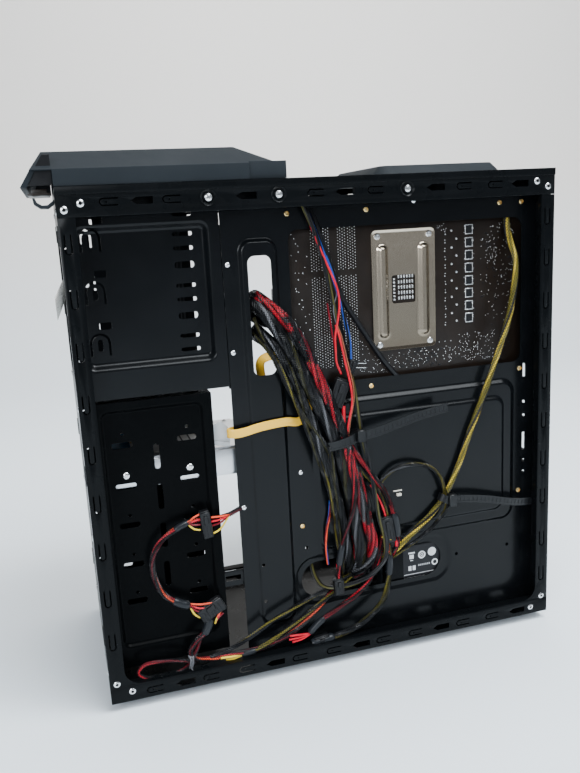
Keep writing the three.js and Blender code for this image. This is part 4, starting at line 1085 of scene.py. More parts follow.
RAIL_LOW_Z = 6.5
RAIL_TOP_Z = 424.0
FRONT_POST_Y = 6.2
REAR_POST_Y = 428.8
TOP_TABS = [39.2, 87.7, 207, 260.5, 344, 374.8]
TOP_ARROWS = [64.5, 148, 233, 316.8, 400]
LOW_TABS = [38, 88.1, 121.5, 171.9, 205.2, 255.5, 289.1, 340.5, 373]
LOW_ARROWS = [65, 148.4, 232.9, 316.9, 401.4]
FRONT_TABS = [393, 351, 309.5, 267, 225, 183, 141, 98.5, 58]
REAR_TABS = [394, 357, 317, 278.5, 240, 201.5, 163, 124, 79.5, 42]
DIMPLES = [117, 175.4, 290]
RIVETS = [(5.7, 419.1), (18.2, 423.7), (417.6, 425.5), (429.1, 420.6),
          (6.1, 18.4), (18.5, 9.0), (429.3, 17.4), (417.2, 7.2)]


def u_slot(middle, length, width, gap, way):
    """The outline of a U cut that leaves a tongue. way turns its closed end: 0 front, 90 down."""
    r, end = width / 2, length / 2
    outer = [(end, r)] + arc((-end + r, 0), r, 90, 270, 8) + [(end, -r)]
    inner = [(end, -r + gap)] + arc((-end + r, 0), r - gap, 270, 90, 8) + [(end, r - gap)]
    turn = math.radians(way)
    c, s = math.cos(turn), math.sin(turn)
    return [(middle[0] + a * c - b * s, middle[1] + a * s + b * c) for a, b in outer + inner]


def arrow_slot(y, z):
    """The outline of a slot with a pointed end towards the front."""
    end, half = 8.75, 2.8
    shoulder = y - end * 0.45
    return [(y - end, z), (shoulder, z - half), (y + end, z - half), (y + end, z + half),
            (shoulder, z + half)]


def both_sides(solids, outline):
    """The same cut through the right-hand rail and the left-hand one."""
    for middle in (0.0, -WIDTH):
        solids.prism(outline, "x", *around(middle, 3.0))


def rail_cuts(tabs, arrows, z, dimples=()):
    """Hook slots, arrow slots and screw openings along a top or bottom rail."""
    cuts = Solids()
    for y in tabs:
        both_sides(cuts, u_slot((y, z), 14.5, 6.4, 1.15, 0))
        both_sides(cuts, circle((y - 1.6, z), 0.7, 10))
    for y in arrows:
        both_sides(cuts, arrow_slot(y, z))
    for y in dimples:
        both_sides(cuts, circle((y, z), 6.6, 28))
    return cuts


def post_cuts(levels, y):
    """Hook slots up a front or rear post."""
    cuts = Solids()
    for z in levels:
        both_sides(cuts, u_slot((y, z), 15.5, 6.0, 1.15, 90))
    return cuts


DASHES = [(249, 14), (217, 3), (203, 3), (177, 18), (157, 3), (145, 3)]


def dash_cuts(cuts):
    """Narrow gaps beside the expansion slots, in line with the tray's rear perforations."""
    for z, length in DASHES:
        cuts.box((-45, -33.5), (417, 439), around(z - 5, length / 2), 0.1)
    return cuts


def shell():
    """The base pan, top, front and rear, with their cuts."""
    softened("base_pan", STEEL, cutters=rail_cuts(LOW_TABS, LOW_ARROWS, RAIL_LOW_Z))
    softened("top_panel", STEEL,
             cutters=rail_cuts(TOP_TABS, TOP_ARROWS, RAIL_TOP_Z, DIMPLES))
    softened("front_panel", STEEL, cutters=post_cuts(FRONT_TABS, FRONT_POST_Y))
    softened("rear_panel", STEEL, cutters=dash_cuts(post_cuts(REAR_TABS, REAR_POST_Y)))


def shell_fasteners():
    """The dished screws and rivets of the rails, on both sides."""
    dishes = Solids()
    heads = Solids()
    for side, face in ((1, 0.0), (-1, -WIDTH)):
        def out(profile, side=side):
            return [(r, side * h) for r, h in profile]
        for y in DIMPLES:
            dish = [(0, -2.4), (4.6, -2.4), (6.9, -1.1), (6.9, 0.25), (6.5, 0.25), (4.4, -1.5),
                    (0, -1.5)]
            dishes.lathe(out(dish), (face, y, RAIL_TOP_Z), "x", 28)
            head = [(0, -1.6), (3.5, -1.6), (3.5, -0.7), (2.9, 0.5), (1.7, 0.9), (1.3, 0.2), (0, 0.0)]
            heads.lathe(out(head), (face, y, RAIL_TOP_Z), "x", 20)
        for y, z in RIVETS:
            rivet = [(0, -0.6), (2.9, -0.6), (2.9, 0.25), (2.3, 0.75), (1.3, 0.9), (1.0, -0.2),
                     (0, -0.3)]
            heads.lathe(out(rivet), (face, y, z), "x", 18)
    make("rail_dishes", dishes, STEEL)
    make("rail_rivets", heads, SCREW)


shell()
shell_fasteners()


# ---------------------------------------------------------------- tray and walls

TRAY_FACE = -20.0
TRAY_LOW, TRAY_HIGH = chassis_box("motherboard_tray")
CAGE_LOW, CAGE_HIGH = chassis_box("hard_drive_cage")

TRAY_FIELDS = [
    {"y": (141.5, 177.5), "z": (34, 390), "corner": 12, "depth": 3.0, "slope": 4.5},
    {"y": (200, 408), "z": (98, 243), "corner": 14, "depth": 3.0, "slope": 5.0},
    {"y": (212, 396), "z": (110, 228), "corner": 12, "depth": 2.0, "slope": 4.5},
    {"y": (176, 340), "z": (44, 96), "corner": 22, "depth": -1.6, "slope": 5.0},
]
TRAY_HOLES = [((187, 415), (258, 394.7), 9), ((149.5, 170), (272, 375), 6),
              ((184, 328), (52.5, 88), 17), ((190, 262), (416, 445), 4)]
BOARD_HOLES = [(391.24, 408.4), (259.16, 408.4), (186.77, 408.4), (259.16, 250.92), (414.1, 250.92),
               (186.77, 126.46), (414.1, 126.46), (414.1, 408.4), (259.16, 126.46)]


def tray():
    """The main board's tray, with its pressed fields and cut-outs."""
    holes = Solids()
    for y, z, corner in TRAY_HOLES:
        holes.prism(rounded(y, z, corner, 8), "x", TRAY_FACE - 12, TRAY_FACE + 12)
    for z, length in DASHES:
        holes.box(around(TRAY_FACE, 6), (418.2, 421.2), around(z, length / 2), 0.1)
    for y, z in [(147, 96), (147, 60), (192, 60), (345, 70), (190, 104), (402, 70)]:
        holes.prism(circle((y, z), 1.7, 12), "x", TRAY_FACE - 8, TRAY_FACE + 8)
    pressed_sheet("motherboard_tray_finished", (TRAY_LOW.y, TRAY_HIGH.y), (TRAY_LOW.z, TRAY_HIGH.z),
                  TRAY_FACE, TRAY_FIELDS, holes, STEEL_PAINTED_LIT, "motherboard_tray")


def bay_wall(node):
    """The five and a quarter inch bay's wall, with its drive slots. It faces +X."""
    low, high = chassis_box(node)
    face = high.x
    fields = [{"y": (10, 119.5), "z": (289, 406.5), "corner": 8, "depth": -5.0, "slope": 6.0}]
    holes = Solids()
    through = (face - 12, face + 6)
    for bay in range(3):
        base = 296 + bay * 42.3
        for rise, half in ((4.4, 1.7), (16, 1.7), (33, 2.8)):
            holes.prism(rounded((89.5, 106), around(base + rise, half), half * 0.8, 3), "x", *through)
        holes.prism(rounded((24, 34), (base + 27, base + 33), 1.5, 3), "x", *through)
        holes.prism(u_slot((23.5, base + 15), 19, 17, 2.0, -90), "x", *through)
        holes.prism(rounded((21.5, 25.5), (base + 9, base + 19), 1.6, 3), "x", *through)
    pressed_sheet(node + "_finished", (low.y, high.y), (low.z, high.z), face, fields, holes,
                  STEEL_PAINTED_LIT, node)


CAGE_LEVELS = (224, 187.5, 152, 115.5, 81)


def cage_wall_cuts(face):
    """The drive slots, screw holes and upright slots of the near cage wall."""
    holes = Solids()
    through = (face - 9, face + 5)
    for z in CAGE_LEVELS:
        for span in ((23.5, 41), (79, 95.5)):
            holes.prism(rounded(span, around(z, 2.5), 1.8, 3), "x", *through)
        if z > 90:
            holes.prism(rounded((58, 63), (z - 25, z - 2), 2.2, 4), "x", *through)
    for z in (234, 161, 125, 89):
        for hole_y in (33, 88):
            holes.prism(circle((hole_y, z), 1.5, 12), "x", *through)
    return holes


def cage():
    """The hard drive cage: a folded box with a pressed field in each side wall."""
    left, right = CAGE_LOW.x, CAGE_HIGH.x
    y = (CAGE_LOW.y, CAGE_HIGH.y)
    levels = (CAGE_LOW.z, CAGE_HIGH.z)
    shelves = Solids()
    for z in (levels[0], levels[1] - SHEET):
        shelves.box((left + 1.2, right - 1.2), y, (z, z + SHEET), 0.3)
    make("hard_drive_cage_shelves", shelves, STEEL_PAINTED_SHADE)
    field = {"y": (15, 104), "z": (38, 256), "corner": 8, "depth": -3.0, "slope": 4.2}
    pressed_sheet("hard_drive_cage_wall", y, levels, right, [field], cage_wall_cuts(right), STEEL_PAINTED_SHADE,
                  "hard_drive_cage")
    far = Solids()
    for z in CAGE_LEVELS:
        for span in ((21, 37), (74, 90)):
            far.prism(rounded(span, (z - 11.5, z - 7.5), 1.6, 3), "x", left - 4, left + 6)
    pressed_sheet("hard_drive_cage_far_wall", y, levels, left + SHEET, [{**field, "depth": 2.0}], far,
                  STEEL_PAINTED_SHADE)


def tray_fasteners():
    """The brass pillars behind the main board, and the tray's rivets and screws."""
    pillars = Solids()
    for y, z in BOARD_HOLES:
        pillars.lathe([(0, -0.8), (2.4, -0.8), (2.4, 1.0), (1.7, 1.5), (1.4, 0.4), (0, 0.3)],
                      (TRAY_FACE, y, z), "x", 6)
    make("board_pillars", pillars, BRASS)
    rivets = Solids()
    for y, z in [(133, 369), (133, 294), (133, 153), (305, 414), (188, 178), (330, 222), (246, 196)]:
        rivets.lathe([(0, -0.6), (2.2, -0.6), (2.2, 0.2), (1.5, 0.8), (0.6, 0.9), (0, 0.2)],
                     (TRAY_FACE + 0.1, y, z), "x", 14)
    for y in (33, 88):
        rivets.lathe([(0, -1.2), (3.1, -1.2), (3.1, 0.3), (2.2, 1.1), (1.1, 1.2), (0.8, 0.3), (0, 0.2)],
                     (TRAY_FACE - 2.6, y, 197), "x", 18)
    make("tray_rivets", rivets, SCREW)


def tray_flange():
    """The tray's front edge, folded back behind the bay wall."""
    flange = Solids()
    flange.box((TRAY_FACE - 5.6, TRAY_FACE - 4.4), (128.0, 131.5), (262, 402), 0.3)
    flange.box((TRAY_FACE - 5.6, TRAY_FACE - 0.9), (130.4, 131.6), (262, 402), 0.3)
    make("tray_front_flange", flange, STEEL_PAINTED_LIT)


tray()
tray_flange()
bay_wall("optical_bay_right_wall")
bay_wall("optical_bay_left_wall")
cage()
tray_fasteners()
softened("optical_bay_floor", STEEL_PAINTED_LIT)
softened("cage_brace", STEEL_PAINTED_LIT, 0.2)
softened("bent_bay_tab", BARE_STEEL, 0.15)


# ---------------------------------------------------------------- back of the main board

BOARD_BACK = chassis_box("motherboard")[1].x
MEMORY_ROWS = (213, 222.5, 238, 247.5)
STAGE_Y = 364
STAGE_LEVELS = [304 + i * 11.7 for i in range(8)]


def proud(height):
    """From just inside the back of the main board to a height above it."""
    return (BOARD_BACK - 0.1, BOARD_BACK + height)


def dot(solids, y, z, radius, height=0.5, sides=6):
    """A blunt cone of solder on the back of the main board."""
    profile = [(0, -0.1), (radius, -0.1), (radius * 0.75, height * 0.7), (0, height)]
    solids.lathe(profile, (BOARD_BACK, y, z), "x", sides)


def scatter(solids, rng, y, z, count, radius):
    """Small dots at random places within two spans."""
    for _ in range(count):
        dot(solids, rng.uniform(*y), rng.uniform(*z), rng.uniform(*radius), 0.45, 5)


def label_marks():
    """A generic printed label on the power supply: rings, bars and rules, without lettering."""
    face = chassis_box("power_supply_case")[1].x + 0.05
    ink = (0.75, 0.75, 0.76)
    marks = Solids()
    marks.box((face, face + 0.12), (289, 331), (49.5, 85), 0.04, tint=(0.010, 0.010, 0.012))
    top = (face + 0.12, face + 0.2)

    def ring(y, z, outer, inner):
        count = 20
        points = []
        for x in top:
            for radius in (outer, inner):
                points += [(x, a, b) for a, b in circle((y, z), radius, count)]
        faces = []
        for i in range(count):
            j = (i + 1) % count
            corners = [[0, 1], [2, 0], [3, 2], [1, 3]]
            for a, b in corners:
                faces.append([a * count + i, a * count + j, b * count + j, b * count + i])
        marks.add(points, faces, ink)

    marks.prism(circle((320, 75.5), 4.4, 20), "x", *top, tint=ink)
    ring(309, 74, 4.0, 2.4)
    ring(309, 74, 1.5, 0.8)
    ring(323, 64, 3.4, 2.0)
    for y, z, wide, tall in ((298, 77.5, 7, 1.6), (298, 73.5, 4.6, 4.2), (298, 69.6, 3.0, 0.9),
                             (329, 76, 2.2, 1.6),
                             (296, 61.5, 3.2, 4.8), (300.5, 61.5, 3.2, 4.8), (330, 64, 0.9, 5.2)):
        marks.box(top, around(y, wide / 2), around(z, tall / 2), 0.03, tint=ink)
    for i in range(7):
        marks.box(top, (305 + i * 1.9, 306.3 + i * 1.9), (62.6, 64.4), 0.03, tint=(0.4, 0.4, 0.41))
    for z in (55.2, 51.6):
        marks.box(top, (289.5, 330.5), around(z, 0.35), 0.03, tint=(0.5, 0.5, 0.51))
    make("supply_label", marks, PRINT)


def small_clip():
    """The white adhesive clip on the tray and the film flap beside the drive."""
    clip = Solids()
    clip.box((-15.2, -14.0), (276, 285), (147.5, 148.6), 0.2)
    clip.box((-15.2, -12.6), (279, 284), (143, 145.4), 0.3)
    make("tray_clip", clip, SOCKET_IVORY)
    flap = Solids()
    outline = [(111.5, 213), (125.5, 210), (126.5, 226), (119, 233.5), (112, 231)]
    flap.prism(outline, "x", -26.6, -26.0)
    flap.prism([(111.5, 213), (125.5, 210), (125.2, 214), (111.8, 217)], "x", -25.8, -24.6)
    make("drive_film_flap", flap, CLEAR)


def solder_joints(rng):
    """The rows and fields of solder points."""
    joints = Solids()
    for row in MEMORY_ROWS:
        for column, shift in enumerate((-3.3, -1.1, 1.1, 3.3)):
            for i in range(52):
                z = 270.5 + i * 2.5 + (1.25 if column % 2 else 0.0)
                if not 352 < z < 357:
                    dot(joints, row + shift, z, 0.5)
    for i in range(12):
        z = 299 + i * 7.6
        dot(joints, 339 + (i % 3) * 0.4, z, 0.75)
        dot(joints, 339.3, z + 2.4, 0.6)
        dot(joints, 346 if i % 2 else 351, z + 3.0, 1.15, 0.9, 8)
    for z in STAGE_LEVELS:
        for edge in (-4.6, 4.6):
            scatter(joints, rng, around(STAGE_Y + edge, 0.6), around(z, 4), 3, (0.25, 0.45))
    patches = [
        ((376, 412), (296, 392), 90, (0.28, 0.62)), ((398, 412), (332, 352), 26, (0.3, 0.55)),
        ((392, 410), (366, 390), 26, (0.3, 0.6)), ((382, 394), (352, 376), 40, (0.28, 0.55)),
        ((352, 392), (262, 290), 120, (0.25, 0.55)), ((290, 350), (262, 279), 70, (0.25, 0.6)),
        ((190, 206), (262, 392), 44, (0.4, 0.8)), ((252, 262), (262, 300), 26, (0.25, 0.5)),
        ((262, 292), (259, 276), 50, (0.25, 0.5)), ((330, 345), (385, 393), 10, (0.3, 0.5)),
    ]
    for y, z, count, radius in patches:
        scatter(joints, rng, y, z, count, radius)
    for y in range(8):
        for z in range(3):
            dot(joints, 300 + y * 6.1 + z, 270 + z * 6.7, 0.5)
    make("solder_joints", joints, SOLDER)


def back_packages(rng):
    """The small packages on the back of the main board, and their pads."""
    packages, rims = Solids(), Solids()
    for z in STAGE_LEVELS:
        packages.box(proud(1.1), (361.2, 366.8), around(z, 3.3), 0.25)
        for side in (-1, 1):
            rims.box(proud(0.7), (360.0, 368.0), around(z + side * 4.0, 0.45), 0.15)
            rims.box(proud(0.5), around(STAGE_Y + side * 3.6, 0.3), around(z, 3.6), 0.12)
    for _ in range(60):
        y, z = rng.choice([(rng.uniform(374, 411), rng.uniform(264, 390)),
                           (rng.uniform(290, 356), rng.uniform(261, 280))])
        length, width = rng.choice([(1.7, 0.9), (0.9, 1.7), (2.6, 1.3)])
        packages.box(proud(0.6), (y, y + length), (z, z + width), 0.12)
    make("back_packages", packages, CONNECTOR)
    make("package_pads", rims, SOLDER)


def solder_side():
    rng = random.Random(41)
    solder_joints(rng)
    back_packages(rng)


def cooler_backplate():
    """The cooler's ribbed backplate, its screws, and the small parts seen through its opening."""
    low, high = chassis_box("cpu_backplate")
    face = low.x + 1.4
    rib = {"corner": 6.0, "depth": 3.2, "slope": 5.5, "z": (291, 378)}
    fields = [
        {"y": (low.y + 0.6, high.y - 0.6), "z": (low.z + 0.6, high.z - 0.6), "corner": 4, "depth": -0.5,
         "slope": 1.6},
        {**rib, "y": (269.5, 282.3)},
        {**rib, "y": (309.8, 322.6)},
    ]
    holes = Solids()
    holes.prism(rounded((284.8, 308), (323.5, 349), 2.2, 5), "x", face - 6, face + 8)
    pressed_sheet("cpu_backplate_finished", (low.y, high.y), (low.z, high.z), face + 0.5, fields, holes,
                  NICKEL, "cpu_backplate", rounded((low.y, high.y), (low.z, high.z), 4.5,
                                                             6), 1.4, 5.0)

    screws = Solids()
    for y in (low.y + 6, high.y - 6):
        for z in (low.z + 5.4, high.z - 5.6):
            screws.lathe([(0, -0.6), (2.9, -0.6), (2.9, 0.9), (2.3, 1.5), (1.1, 1.6), (0.8, 0.6),
                          (0, 0.5)],
                         (face, y, z), "x", 18)
    make("backplate_screws", screws, SCREW)
    pins = Solids()
    for row in range(5):
        for column in range(6):
            y, z = 291.4 + column * 2.75, 326.4 + row * 4.9
            pins.box(proud(1.0), (y, y + 1.3), (z, z + 3.1), 0.2)
    for i in range(7):
        pins.box(proud(0.8), (286.6, 288.6), (326 + i * 3.1, 327.6 + i * 3.1), 0.2)
    make("cpu_decoupling", pins, SOLDER)


solder_side()
cooler_backplate()
label_marks()
small_clip()


# ---------------------------------------------------------------- other CAD nodes

FINISHES = {
    "black_steel": STEEL, "raw_steel": BARE_STEEL, "nickel": NICKEL, "aluminium": ALUMINIUM,
    "black_plastic": PLASTIC, "fan_plastic": FAN_PLASTIC, "gloss_black": GLOSS, "rubber": RUBBER,
    "circuit_board": BOARD, "cable_sleeve": NET, "yellow_jacket": YELLOW, "lead_wires": WIRES,
}


def cover_cuts(node):
    """A slot cover's row of vents, and the gap at its near end."""
    low, high = chassis_box(node)
    cuts = dash_cuts(Solids())
    if node.startswith("slot_cover"):
        middle = (low.z + high.z) / 2
        for i in range(7):
            x = -133 + i * 12.4
            cuts.prism(rounded((x, x + 8.6), around(middle, 2.4), 2.3, 4), "y", low.y + 5, high.y + 3)
    return cuts


def remaining_nodes():
    """Every CAD node that nothing has replaced yet gets softened edges and its own finish."""
    slots = {part["node"]: part["material_slot"] for part in frame["record"]["subparts"]}
    for body, members in frame["record"]["behaviour"]["bodies"].items():
        for node in members:
            if not NODES[node].hide_render:
                cuts = cover_cuts(node) if node.startswith(("slot_cover", "graphics_bracket")) else None
                softened(node, FINISHES[slots[node]], cutters=cuts, body=body)


remaining_nodes()


# ---------------------------------------------------------------- rear, left side, front and top

REAR_FACE = 433.0
PORT_FACE = 434.4
REAR_FAN_X, REAR_FAN_Z = -130, 350
SLOT_SCREW_X = -146.5
BOARD_FRONT = -29.1
SLOT_LEVELS = [245.4 - i * 20.32 for i in range(7)]


def ring_line(middle, radius, axis, count=48):
    """A closed circle of points about an axis, with its frame, for a wire ring."""
    turns = np.linspace(0, 2 * math.pi, count + 1)
    zero = np.zeros_like(turns)
    offset = placed(axis, zero, radius * np.cos(turns), radius * np.sin(turns))
    places = np.array(middle) + np.stack(offset, axis=1)
    outward = (places - np.array(middle)) / radius
    along = np.zeros_like(places)
    along[:, "xyz".index(axis)] = 1.0
    return places, outward, along


def fan_guard():
    """The wire finger guard over the rear fan, with its four screws."""
    wires, screws = Solids(), Solids()
    x, z = REAR_FAN_X, REAR_FAN_Z
    rings = (14, 25, 36, 47, 56)
    for radius in rings:
        wires.tube(ring_line([x, REAR_FACE + 1.6, z], radius, "y"), 0.8, 6)
    head = [(0, -0.2), (3.6, -0.2), (3.6, 0.9), (2.6, 2.0), (1.2, 2.3), (0.9, 1.3), (0, 1.2)]
    for a, b in ((1, 1), (1, -1), (-1, 1), (-1, -1)):
        start, end = [(x + a * reach, REAR_FACE + 0.7, z + b * reach) for reach in (rings[0] * 0.7,
                                                                                    52.5)]
        middle = [(p + q) / 2 for p, q in zip(start, end)]
        wires.tube(framed(np.array([start, middle, end], float), False), 0.8, 6)
        screws.lathe(head, end, "y", 16)
    make("rear_fan_guard", wires, SCREW)
    make("rear_fan_guard_screws", screws, STEEL)


def port_faces():
    """The mouths of the sockets at the rear edge of the main board, with dark plates and discs as
    painted shade in their openings.
    """
    face = PORT_FACE
    # dark gathers the flat plates and discs that stand for the sockets' hollows: painted shade.
    dark, tongues, metalwork = Solids(), Solids(), Solids()
    violet, green, blue = (0.10, 0.03, 0.18), (0.02, 0.16, 0.06), (0.02, 0.10, 0.40)
    pink, lime, grey, orange = (0.55, 0.10, 0.20), (0.10, 0.42, 0.08), (0.10, 0.10, 0.11), (0.60, 0.20,
                                                                                            0.03)
    near = (face - 0.1, face + 0.5)

    def socket(x, z, wide, tall, colour):
        dark.box(around(x, wide / 2), (face - 0.1, face + 0.25), around(z, tall / 2), 0.1)
        tongues.box(around(x, wide * 0.36), near, around(z, tall * 0.16), 0.1, tint=colour)

    for x, colour in ((-38, violet), (-54, green)):
        tongues.prism(circle((x, 406.5), 6.2, 24), "y", *near, 0.2, colour)
        dark.prism(circle((x, 406.5), 3.4, 16), "y", face, face + 0.7)
    for x in (-37, -51):
        for z in (380, 388):
            socket(x, z, 13, 5.2, WHITE_WIRE)
    tongues.box((-57, -34), near, (356, 365), 0.6, tint=blue)
    for i in range(8):
        for k in range(3):
            dark.prism(circle((-54 + i * 2.4, 358 + k * 2.4), 0.55, 8), "y", face, face + 0.8)
    for x in (-59.5, -31.5):
        metalwork.lathe([(0, 0), (2.4, 0), (2.4, 2.0), (1.6, 2.4), (0, 2.4)], (x, face, 360.5), "y", 6)
    for x in (-37, -51):
        for z in (330, 339.5):
            socket(x, z, 13, 5.2, blue)
    socket(-38, 310, 12.5, 11.5, (0.50, 0.36, 0.10))
    for z in (306.5, 313.5):
        socket(-55, z, 12.5, 4.6, WHITE_WIRE)
    for i, colour in enumerate((pink, lime, blue, grey, orange, (0.01, 0.01, 0.01))):
        x, z = -37 - (i // 3) * 15, 271.5 + (i % 3) * 8.6
        tongues.prism(circle((x, z), 3.9, 20), "y", *near, 0.2, colour)
        dark.prism(circle((x, z), 1.9, 14), "y", face, face + 0.7)
    make("port_openings_painted_shade", dark, CONNECTOR)
    make("port_tongues", tongues, PRINT)
    make("port_hardware", metalwork, SCREW)


def rear_fasteners():
    """The screws of the rear face and the slots, and the lock loop."""
    screws = Solids()
    head = [(0, -0.3), (3.4, -0.3), (3.4, 1.0), (2.4, 1.9), (1.2, 2.1), (0.9, 1.1), (0, 1.0)]
    for x, z in ((-168, 80), (-168, 9), (-32, 81), (-100, 91.5), (-150, 100), (-50, 100)):
        screws.lathe(head, (x, REAR_FACE, z), "y", 16)
    for z in SLOT_LEVELS:
        screws.lathe(head, (SLOT_SCREW_X, REAR_FACE, z), "y", 16)
    make("rear_screws", screws, SCREW)
    plate = Solids()
    plate.box((-34, -22), (REAR_FACE - 0.2, REAR_FACE + 0.8), (93, 108), 0.4)
    for i in range(4):
        plate.box((-32 + i * 2.4, -31 + i * 2.4), (REAR_FACE + 0.6, REAR_FACE + 1.1), (95, 106), 0.15)
    make("rear_lock_loop", plate, STEEL)


def board_components():
    """Capacitors, coils and chips on the side of the main board that faces -X."""
    face = BOARD_FRONT
    rng = random.Random(7)
    cans, tops, coils, chips, legs = Solids(), Solids(), Solids(), Solids(), Solids()
    places = [(332 + (i % 2) * 9, 296 + i * 7.4) for i in range(13)]
    places += [(268 + i * 9.5, 402 + (i % 2) * 4) for i in range(5)]
    places += [(258, 300 + i * 22) for i in range(4)] + [(390, 232), (402, 226), (396, 212), (200, 232),
                                                         (205, 243)]
    for y, z in places:
        tall = rng.choice([9.0, 11.5])
        cans.lathe([(0, 0.1), (3.5, 0.1), (3.7, -1), (3.5, -1.6), (3.5, -tall + 0.5), (3.1, -tall),
                    (0, -tall)],
                   (face, y, z), "x", 16)
        tops.lathe([(0, -tall + 0.1), (2.9, -tall + 0.1), (2.8, -tall - 0.12), (0, -tall - 0.12)],
                   (face, y, z), "x", 12)
    for z in STAGE_LEVELS:
        coils.box((face - 7, face + 0.1), (353, 362), around(z, 4.4), 0.8)
        chips.box((face - 1.4, face + 0.1), (366, 372), around(z, 3.6), 0.2)
        for k in range(4):
            legs.box((face - 0.6, face + 0.1), (364.8, 373.2), around(z - 2.9 + k * 1.9, 0.4), 0.1)
    for y, z, half in ((205, 150, 7), (300, 132, 5), (400, 190, 6), (392, 150, 8), (235, 214, 4),
                       (350, 128, 6)):
        chips.box((face - 1.6, face + 0.1), around(y, half), around(z, half), 0.25)
        for k in range(10):
            shift = (k - 4.5) / 5 * half * 0.95
            legs.box((face - 0.5, face + 0.1), (y - half - 1.4, y + half + 1.4),
                     around(z + shift, 0.25), 0.08)
    for _ in range(90):
        y, z = rng.uniform(192, 412), rng.uniform(118, 258)
        legs.box((face - 0.6, face + 0.1), (y, y + 1.8), (z, z + 0.9), 0.1)
    make("board_capacitors", cans, CAPACITOR)
    make("board_capacitor_tops", tops, ALUMINIUM)
    make("board_coils", coils, SOCKET)
    make("board_chips", chips, CONNECTOR)
    make("board_legs", legs, SOLDER)


def socket_trims():
    """The walls and latches of the memory and card sockets."""
    face = BOARD_FRONT
    blue, plain, latches = Solids(), Solids(), Solids()
    for k, y in enumerate(MEMORY_ROWS):
        target = plain if k % 2 else blue
        for side in (-1, 1):
            target.box((face - 8.5, face - 0.1), around(y + side * 3.15, 0.35), (265, 405), 0.2)
        for z in (263.2, 404.8):
            latches.box((face - 14, face - 0.2), around(y, 2.6), (z, z + 3.0), 0.5)
    for i, target in ((0, blue), (2, blue), (4, plain)):
        tall = 7.4 if i == 0 else 11.4
        for side in (-1, 1):
            target.box((face - tall, face - 0.1), (284.6, 375.4),
                       around(SLOT_LEVELS[i] + side * 3.9, 0.3), 0.2)
    make("memory_and_card_trims_blue", blue, SOCKET_BLUE)
    make("memory_and_card_trims", plain, SOCKET)
    make("memory_latches", latches, SOCKET_IVORY)


def drive_and_supply_labels():
    """Generic printed labels without lettering, and the drive's own screws."""
    marks, screws = Solids(), Solids()
    pale, ink, band = (0.62, 0.62, 0.62), (0.03, 0.03, 0.035), (0.04, 0.16, 0.30)
    low, high = chassis_box("hard_drive")
    top = high.z
    marks.box((low.x + 12, high.x - 12), (low.y + 14, low.y + 112), (top + 0.02, top + 0.16), 0.04,
              tint=pale)
    marks.box((low.x + 12, high.x - 12), (low.y + 14, low.y + 30), (top + 0.14, top + 0.24), 0.03,
              tint=band)
    for i in range(9):
        y = low.y + 38 + i * 7.6
        marks.box((low.x + 20, high.x - (24 + 6 * (i % 3))), (y, y + 1.6), (top + 0.14, top + 0.22),
                  0.03, tint=ink)
    for x in (low.x + 7, high.x - 7):
        for y in (low.y + 8, low.y + 68, low.y + 128):
            screws.lathe([(0, -0.2), (2.2, -0.2), (2.2, 0.5), (1.2, 0.6), (0.8, 0.1), (0, 0.1)],
                         (x, y, top), "z", 12)
    side = chassis_box("power_supply_case")[0].x
    marks.box((side - 0.14, side - 0.02), (296, 404), (16, 76), 0.04, tint=(0.014, 0.015, 0.018))
    for i in range(6):
        z = 24 + i * 7
        marks.box((side - 0.22, side - 0.12), (304, 396), (z, z + 0.5), 0.03, tint=pale)
        for k in range(5):
            marks.box((side - 0.22, side - 0.12), (308 + k * 18, 316 + k * 18), (z + 2.4, z + 4.2),
                      0.03,
                      tint=(0.35, 0.35, 0.36))
    make("drive_and_supply_labels", marks, PRINT)
    make("drive_screws", screws, SCREW)


def housing_details():
    """The control housing's dark end plates, which are painted shade for the open recess under its
    front, and its button rings, lamps and the trim round its ports.
    """
    rings, lamps, shade_plates = Solids(), Solids(), Solids()
    # Dark nylon plates at both ends of the housing, where the recess under its front lies in shade:
    # painted shade.
    for x in (-195.5, -6.0):
        shade_plates.prism([(-20.5, 438), (-6.0, 460.5), (-0.5, 460.5), (-0.5, 438)], "x", x, x + 1.5, 0.2)
    make("housing_end_plates_painted_shade", shade_plates, CONNECTOR)
    top = chassis_box("control_housing")[1].z
    for (x, y), radius in (((-100, 40), 12.3), ((-72, 40), 5.2)):
        rings.tube(ring_line((x, y, top + 0.1), radius, "z", 40), 0.55, 6)
    make("button_rings", rings, SCREW)
    for y in (33, 47):
        lamps.lathe([(0, -0.4), (1.5, -0.4), (1.5, 0.3), (1.0, 0.7), (0, 0.8)], (-128, y, top), "z", 12)
    make("status_lamps", lamps, SOCKET_BLUE)
    frame_trim = Solids()
    outline_y, outline_x = (62.6, 111.4), (-129.4, -70.6)
    for x in outline_x:
        frame_trim.box(around(x, 0.5), outline_y, (top - 0.2, top + 0.5), 0.2)
    for y in outline_y:
        frame_trim.box(outline_x, around(y, 0.5), (top - 0.2, top + 0.5), 0.2)
    make("port_trim", frame_trim, GLOSS)


def front_fasteners():
    """Rivets and bezel clip sockets on the steel front."""
    heads, clips = Solids(), Solids()
    head = [(0, 0.3), (2.8, 0.3), (2.8, -0.3), (1.9, -0.8), (1.0, -0.9), (0.7, -0.2), (0, -0.1)]
    for x in (-12, -188):
        for z in (24, 150, 262, 418):
            heads.lathe(head, (x, 0, z), "y", 14)
        for z in (60, 205, 330, 400):
            outer = rounded(around(x, 4), around(z, 8), 1.2, 3)
            clips.prism(outer, "y", -0.7, 0.2, 0.3)
    make("front_rivets", heads, SCREW)
    make("bezel_clip_sockets", clips, RUBBER)


fan_guard()
port_faces()
rear_fasteners()
board_components()
socket_trims()
drive_and_supply_labels()
housing_details()
front_fasteners()


# ---------------------------------------------------------------- studio

FLOOR_GAP = 0.0004


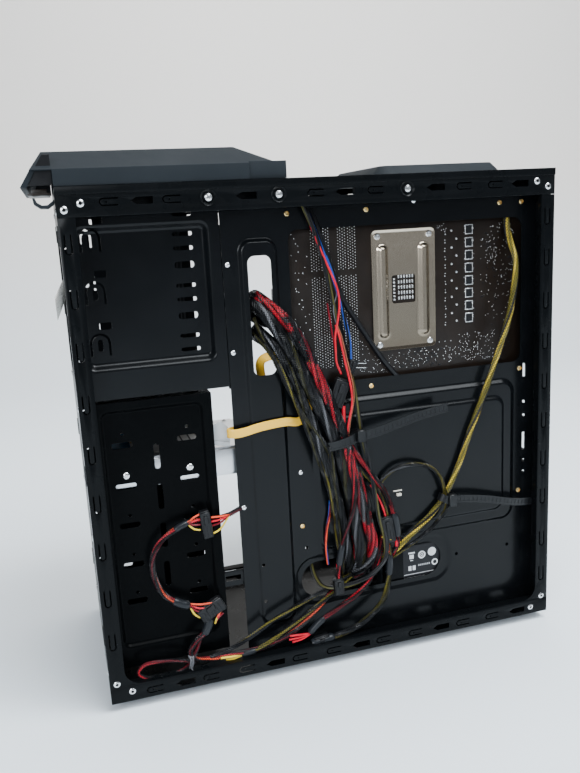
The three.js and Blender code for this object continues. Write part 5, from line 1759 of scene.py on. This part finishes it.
def paper_sweep():
    """A pale floor that bends up into a wall, standing square to the view."""
    width, depth, height, bend = 6.0, 2.2, 3.5, 0.9
    profile = [(2.6, 0.0)]
    profile += [(-depth + bend - bend * math.sin(math.radians(a)),
                 bend - bend * math.cos(math.radians(a)))
                for a in range(0, 91, 6)]
    profile += [(-depth, height)]
    view = CAMERA_RIGHT.cross(CAMERA_UP)
    ahead = Vector((view.x, view.y, 0)).normalized()
    side = Vector((-ahead.y, ahead.x, 0))
    points = []
    for along, up in profile:
        for k in (-1, 1):
            points.append(ahead * along + side * k * width / 2 + Vector((0, 0, up - FLOOR_GAP)))
    faces = [[2 * i, 2 * i + 1, 2 * i + 3, 2 * i + 2] for i in range(len(profile) - 1)]
    mesh = bpy.data.meshes.new("backdrop")
    mesh.from_pydata(points, [], faces)
    backdrop = new_object("backdrop", mesh)
    mesh.shade_smooth()
    shader = Shader("paper")
    blend = shader.spread(shader.height(), 0.0, 1.0, 0.0, 0.5)
    colour = shader.ramp(blend, [(0.0, (0.86, 0.93, 0.985)), (1.0, (0.88, 0.85, 0.815))])
    mesh.materials.append(shader.surface(Roughness=0.75, Base_Color=colour))


def lighting():
    """A soft even sky and four disk lamps. Each row: name, place, target, size, watts, colour."""
    world = bpy.data.worlds.new("world")
    bpy.context.scene.world = world
    world.use_nodes = True
    background = world.node_tree.nodes["Background"]
    background.inputs["Color"].default_value = (0.80, 0.86, 0.94, 1.0)
    background.inputs["Strength"].default_value = 0.37
    for name, place, target, size, power, colour in (
        ("overhead", (0.75, 0.50, 1.80), (0.0, 0.0, 0.25), 1.5, 62.0, (0.90, 0.96, 1.0)),
        ("lamp", (0.50, 0.62, 2.00), (0.0, 0.0, 0.25), 0.45, 16.0, (0.94, 0.97, 1.0)),
        ("window", (1.5, -1.2, 0.95), (0.0, 0.0, 0.25), 1.0, 32.0, (0.90, 0.95, 1.0)),
        ("wall", (-0.35, 0.1, 2.1), (-2.2, 0.65, 0.7), 1.2, 42.0, (1.0, 0.97, 0.93)),
    ):
        data = bpy.data.lights.new(name, "AREA")
        data.shape = "DISK"
        data.size = size
        data.energy = power
        data.color = colour
        light = bpy.data.objects.new(name, data)
        light.location = place
        light.rotation_euler = (Vector(target) - Vector(place)).to_track_quat("-Z", "Y").to_euler()
        bpy.context.scene.collection.objects.link(light)


paper_sweep()
lighting()
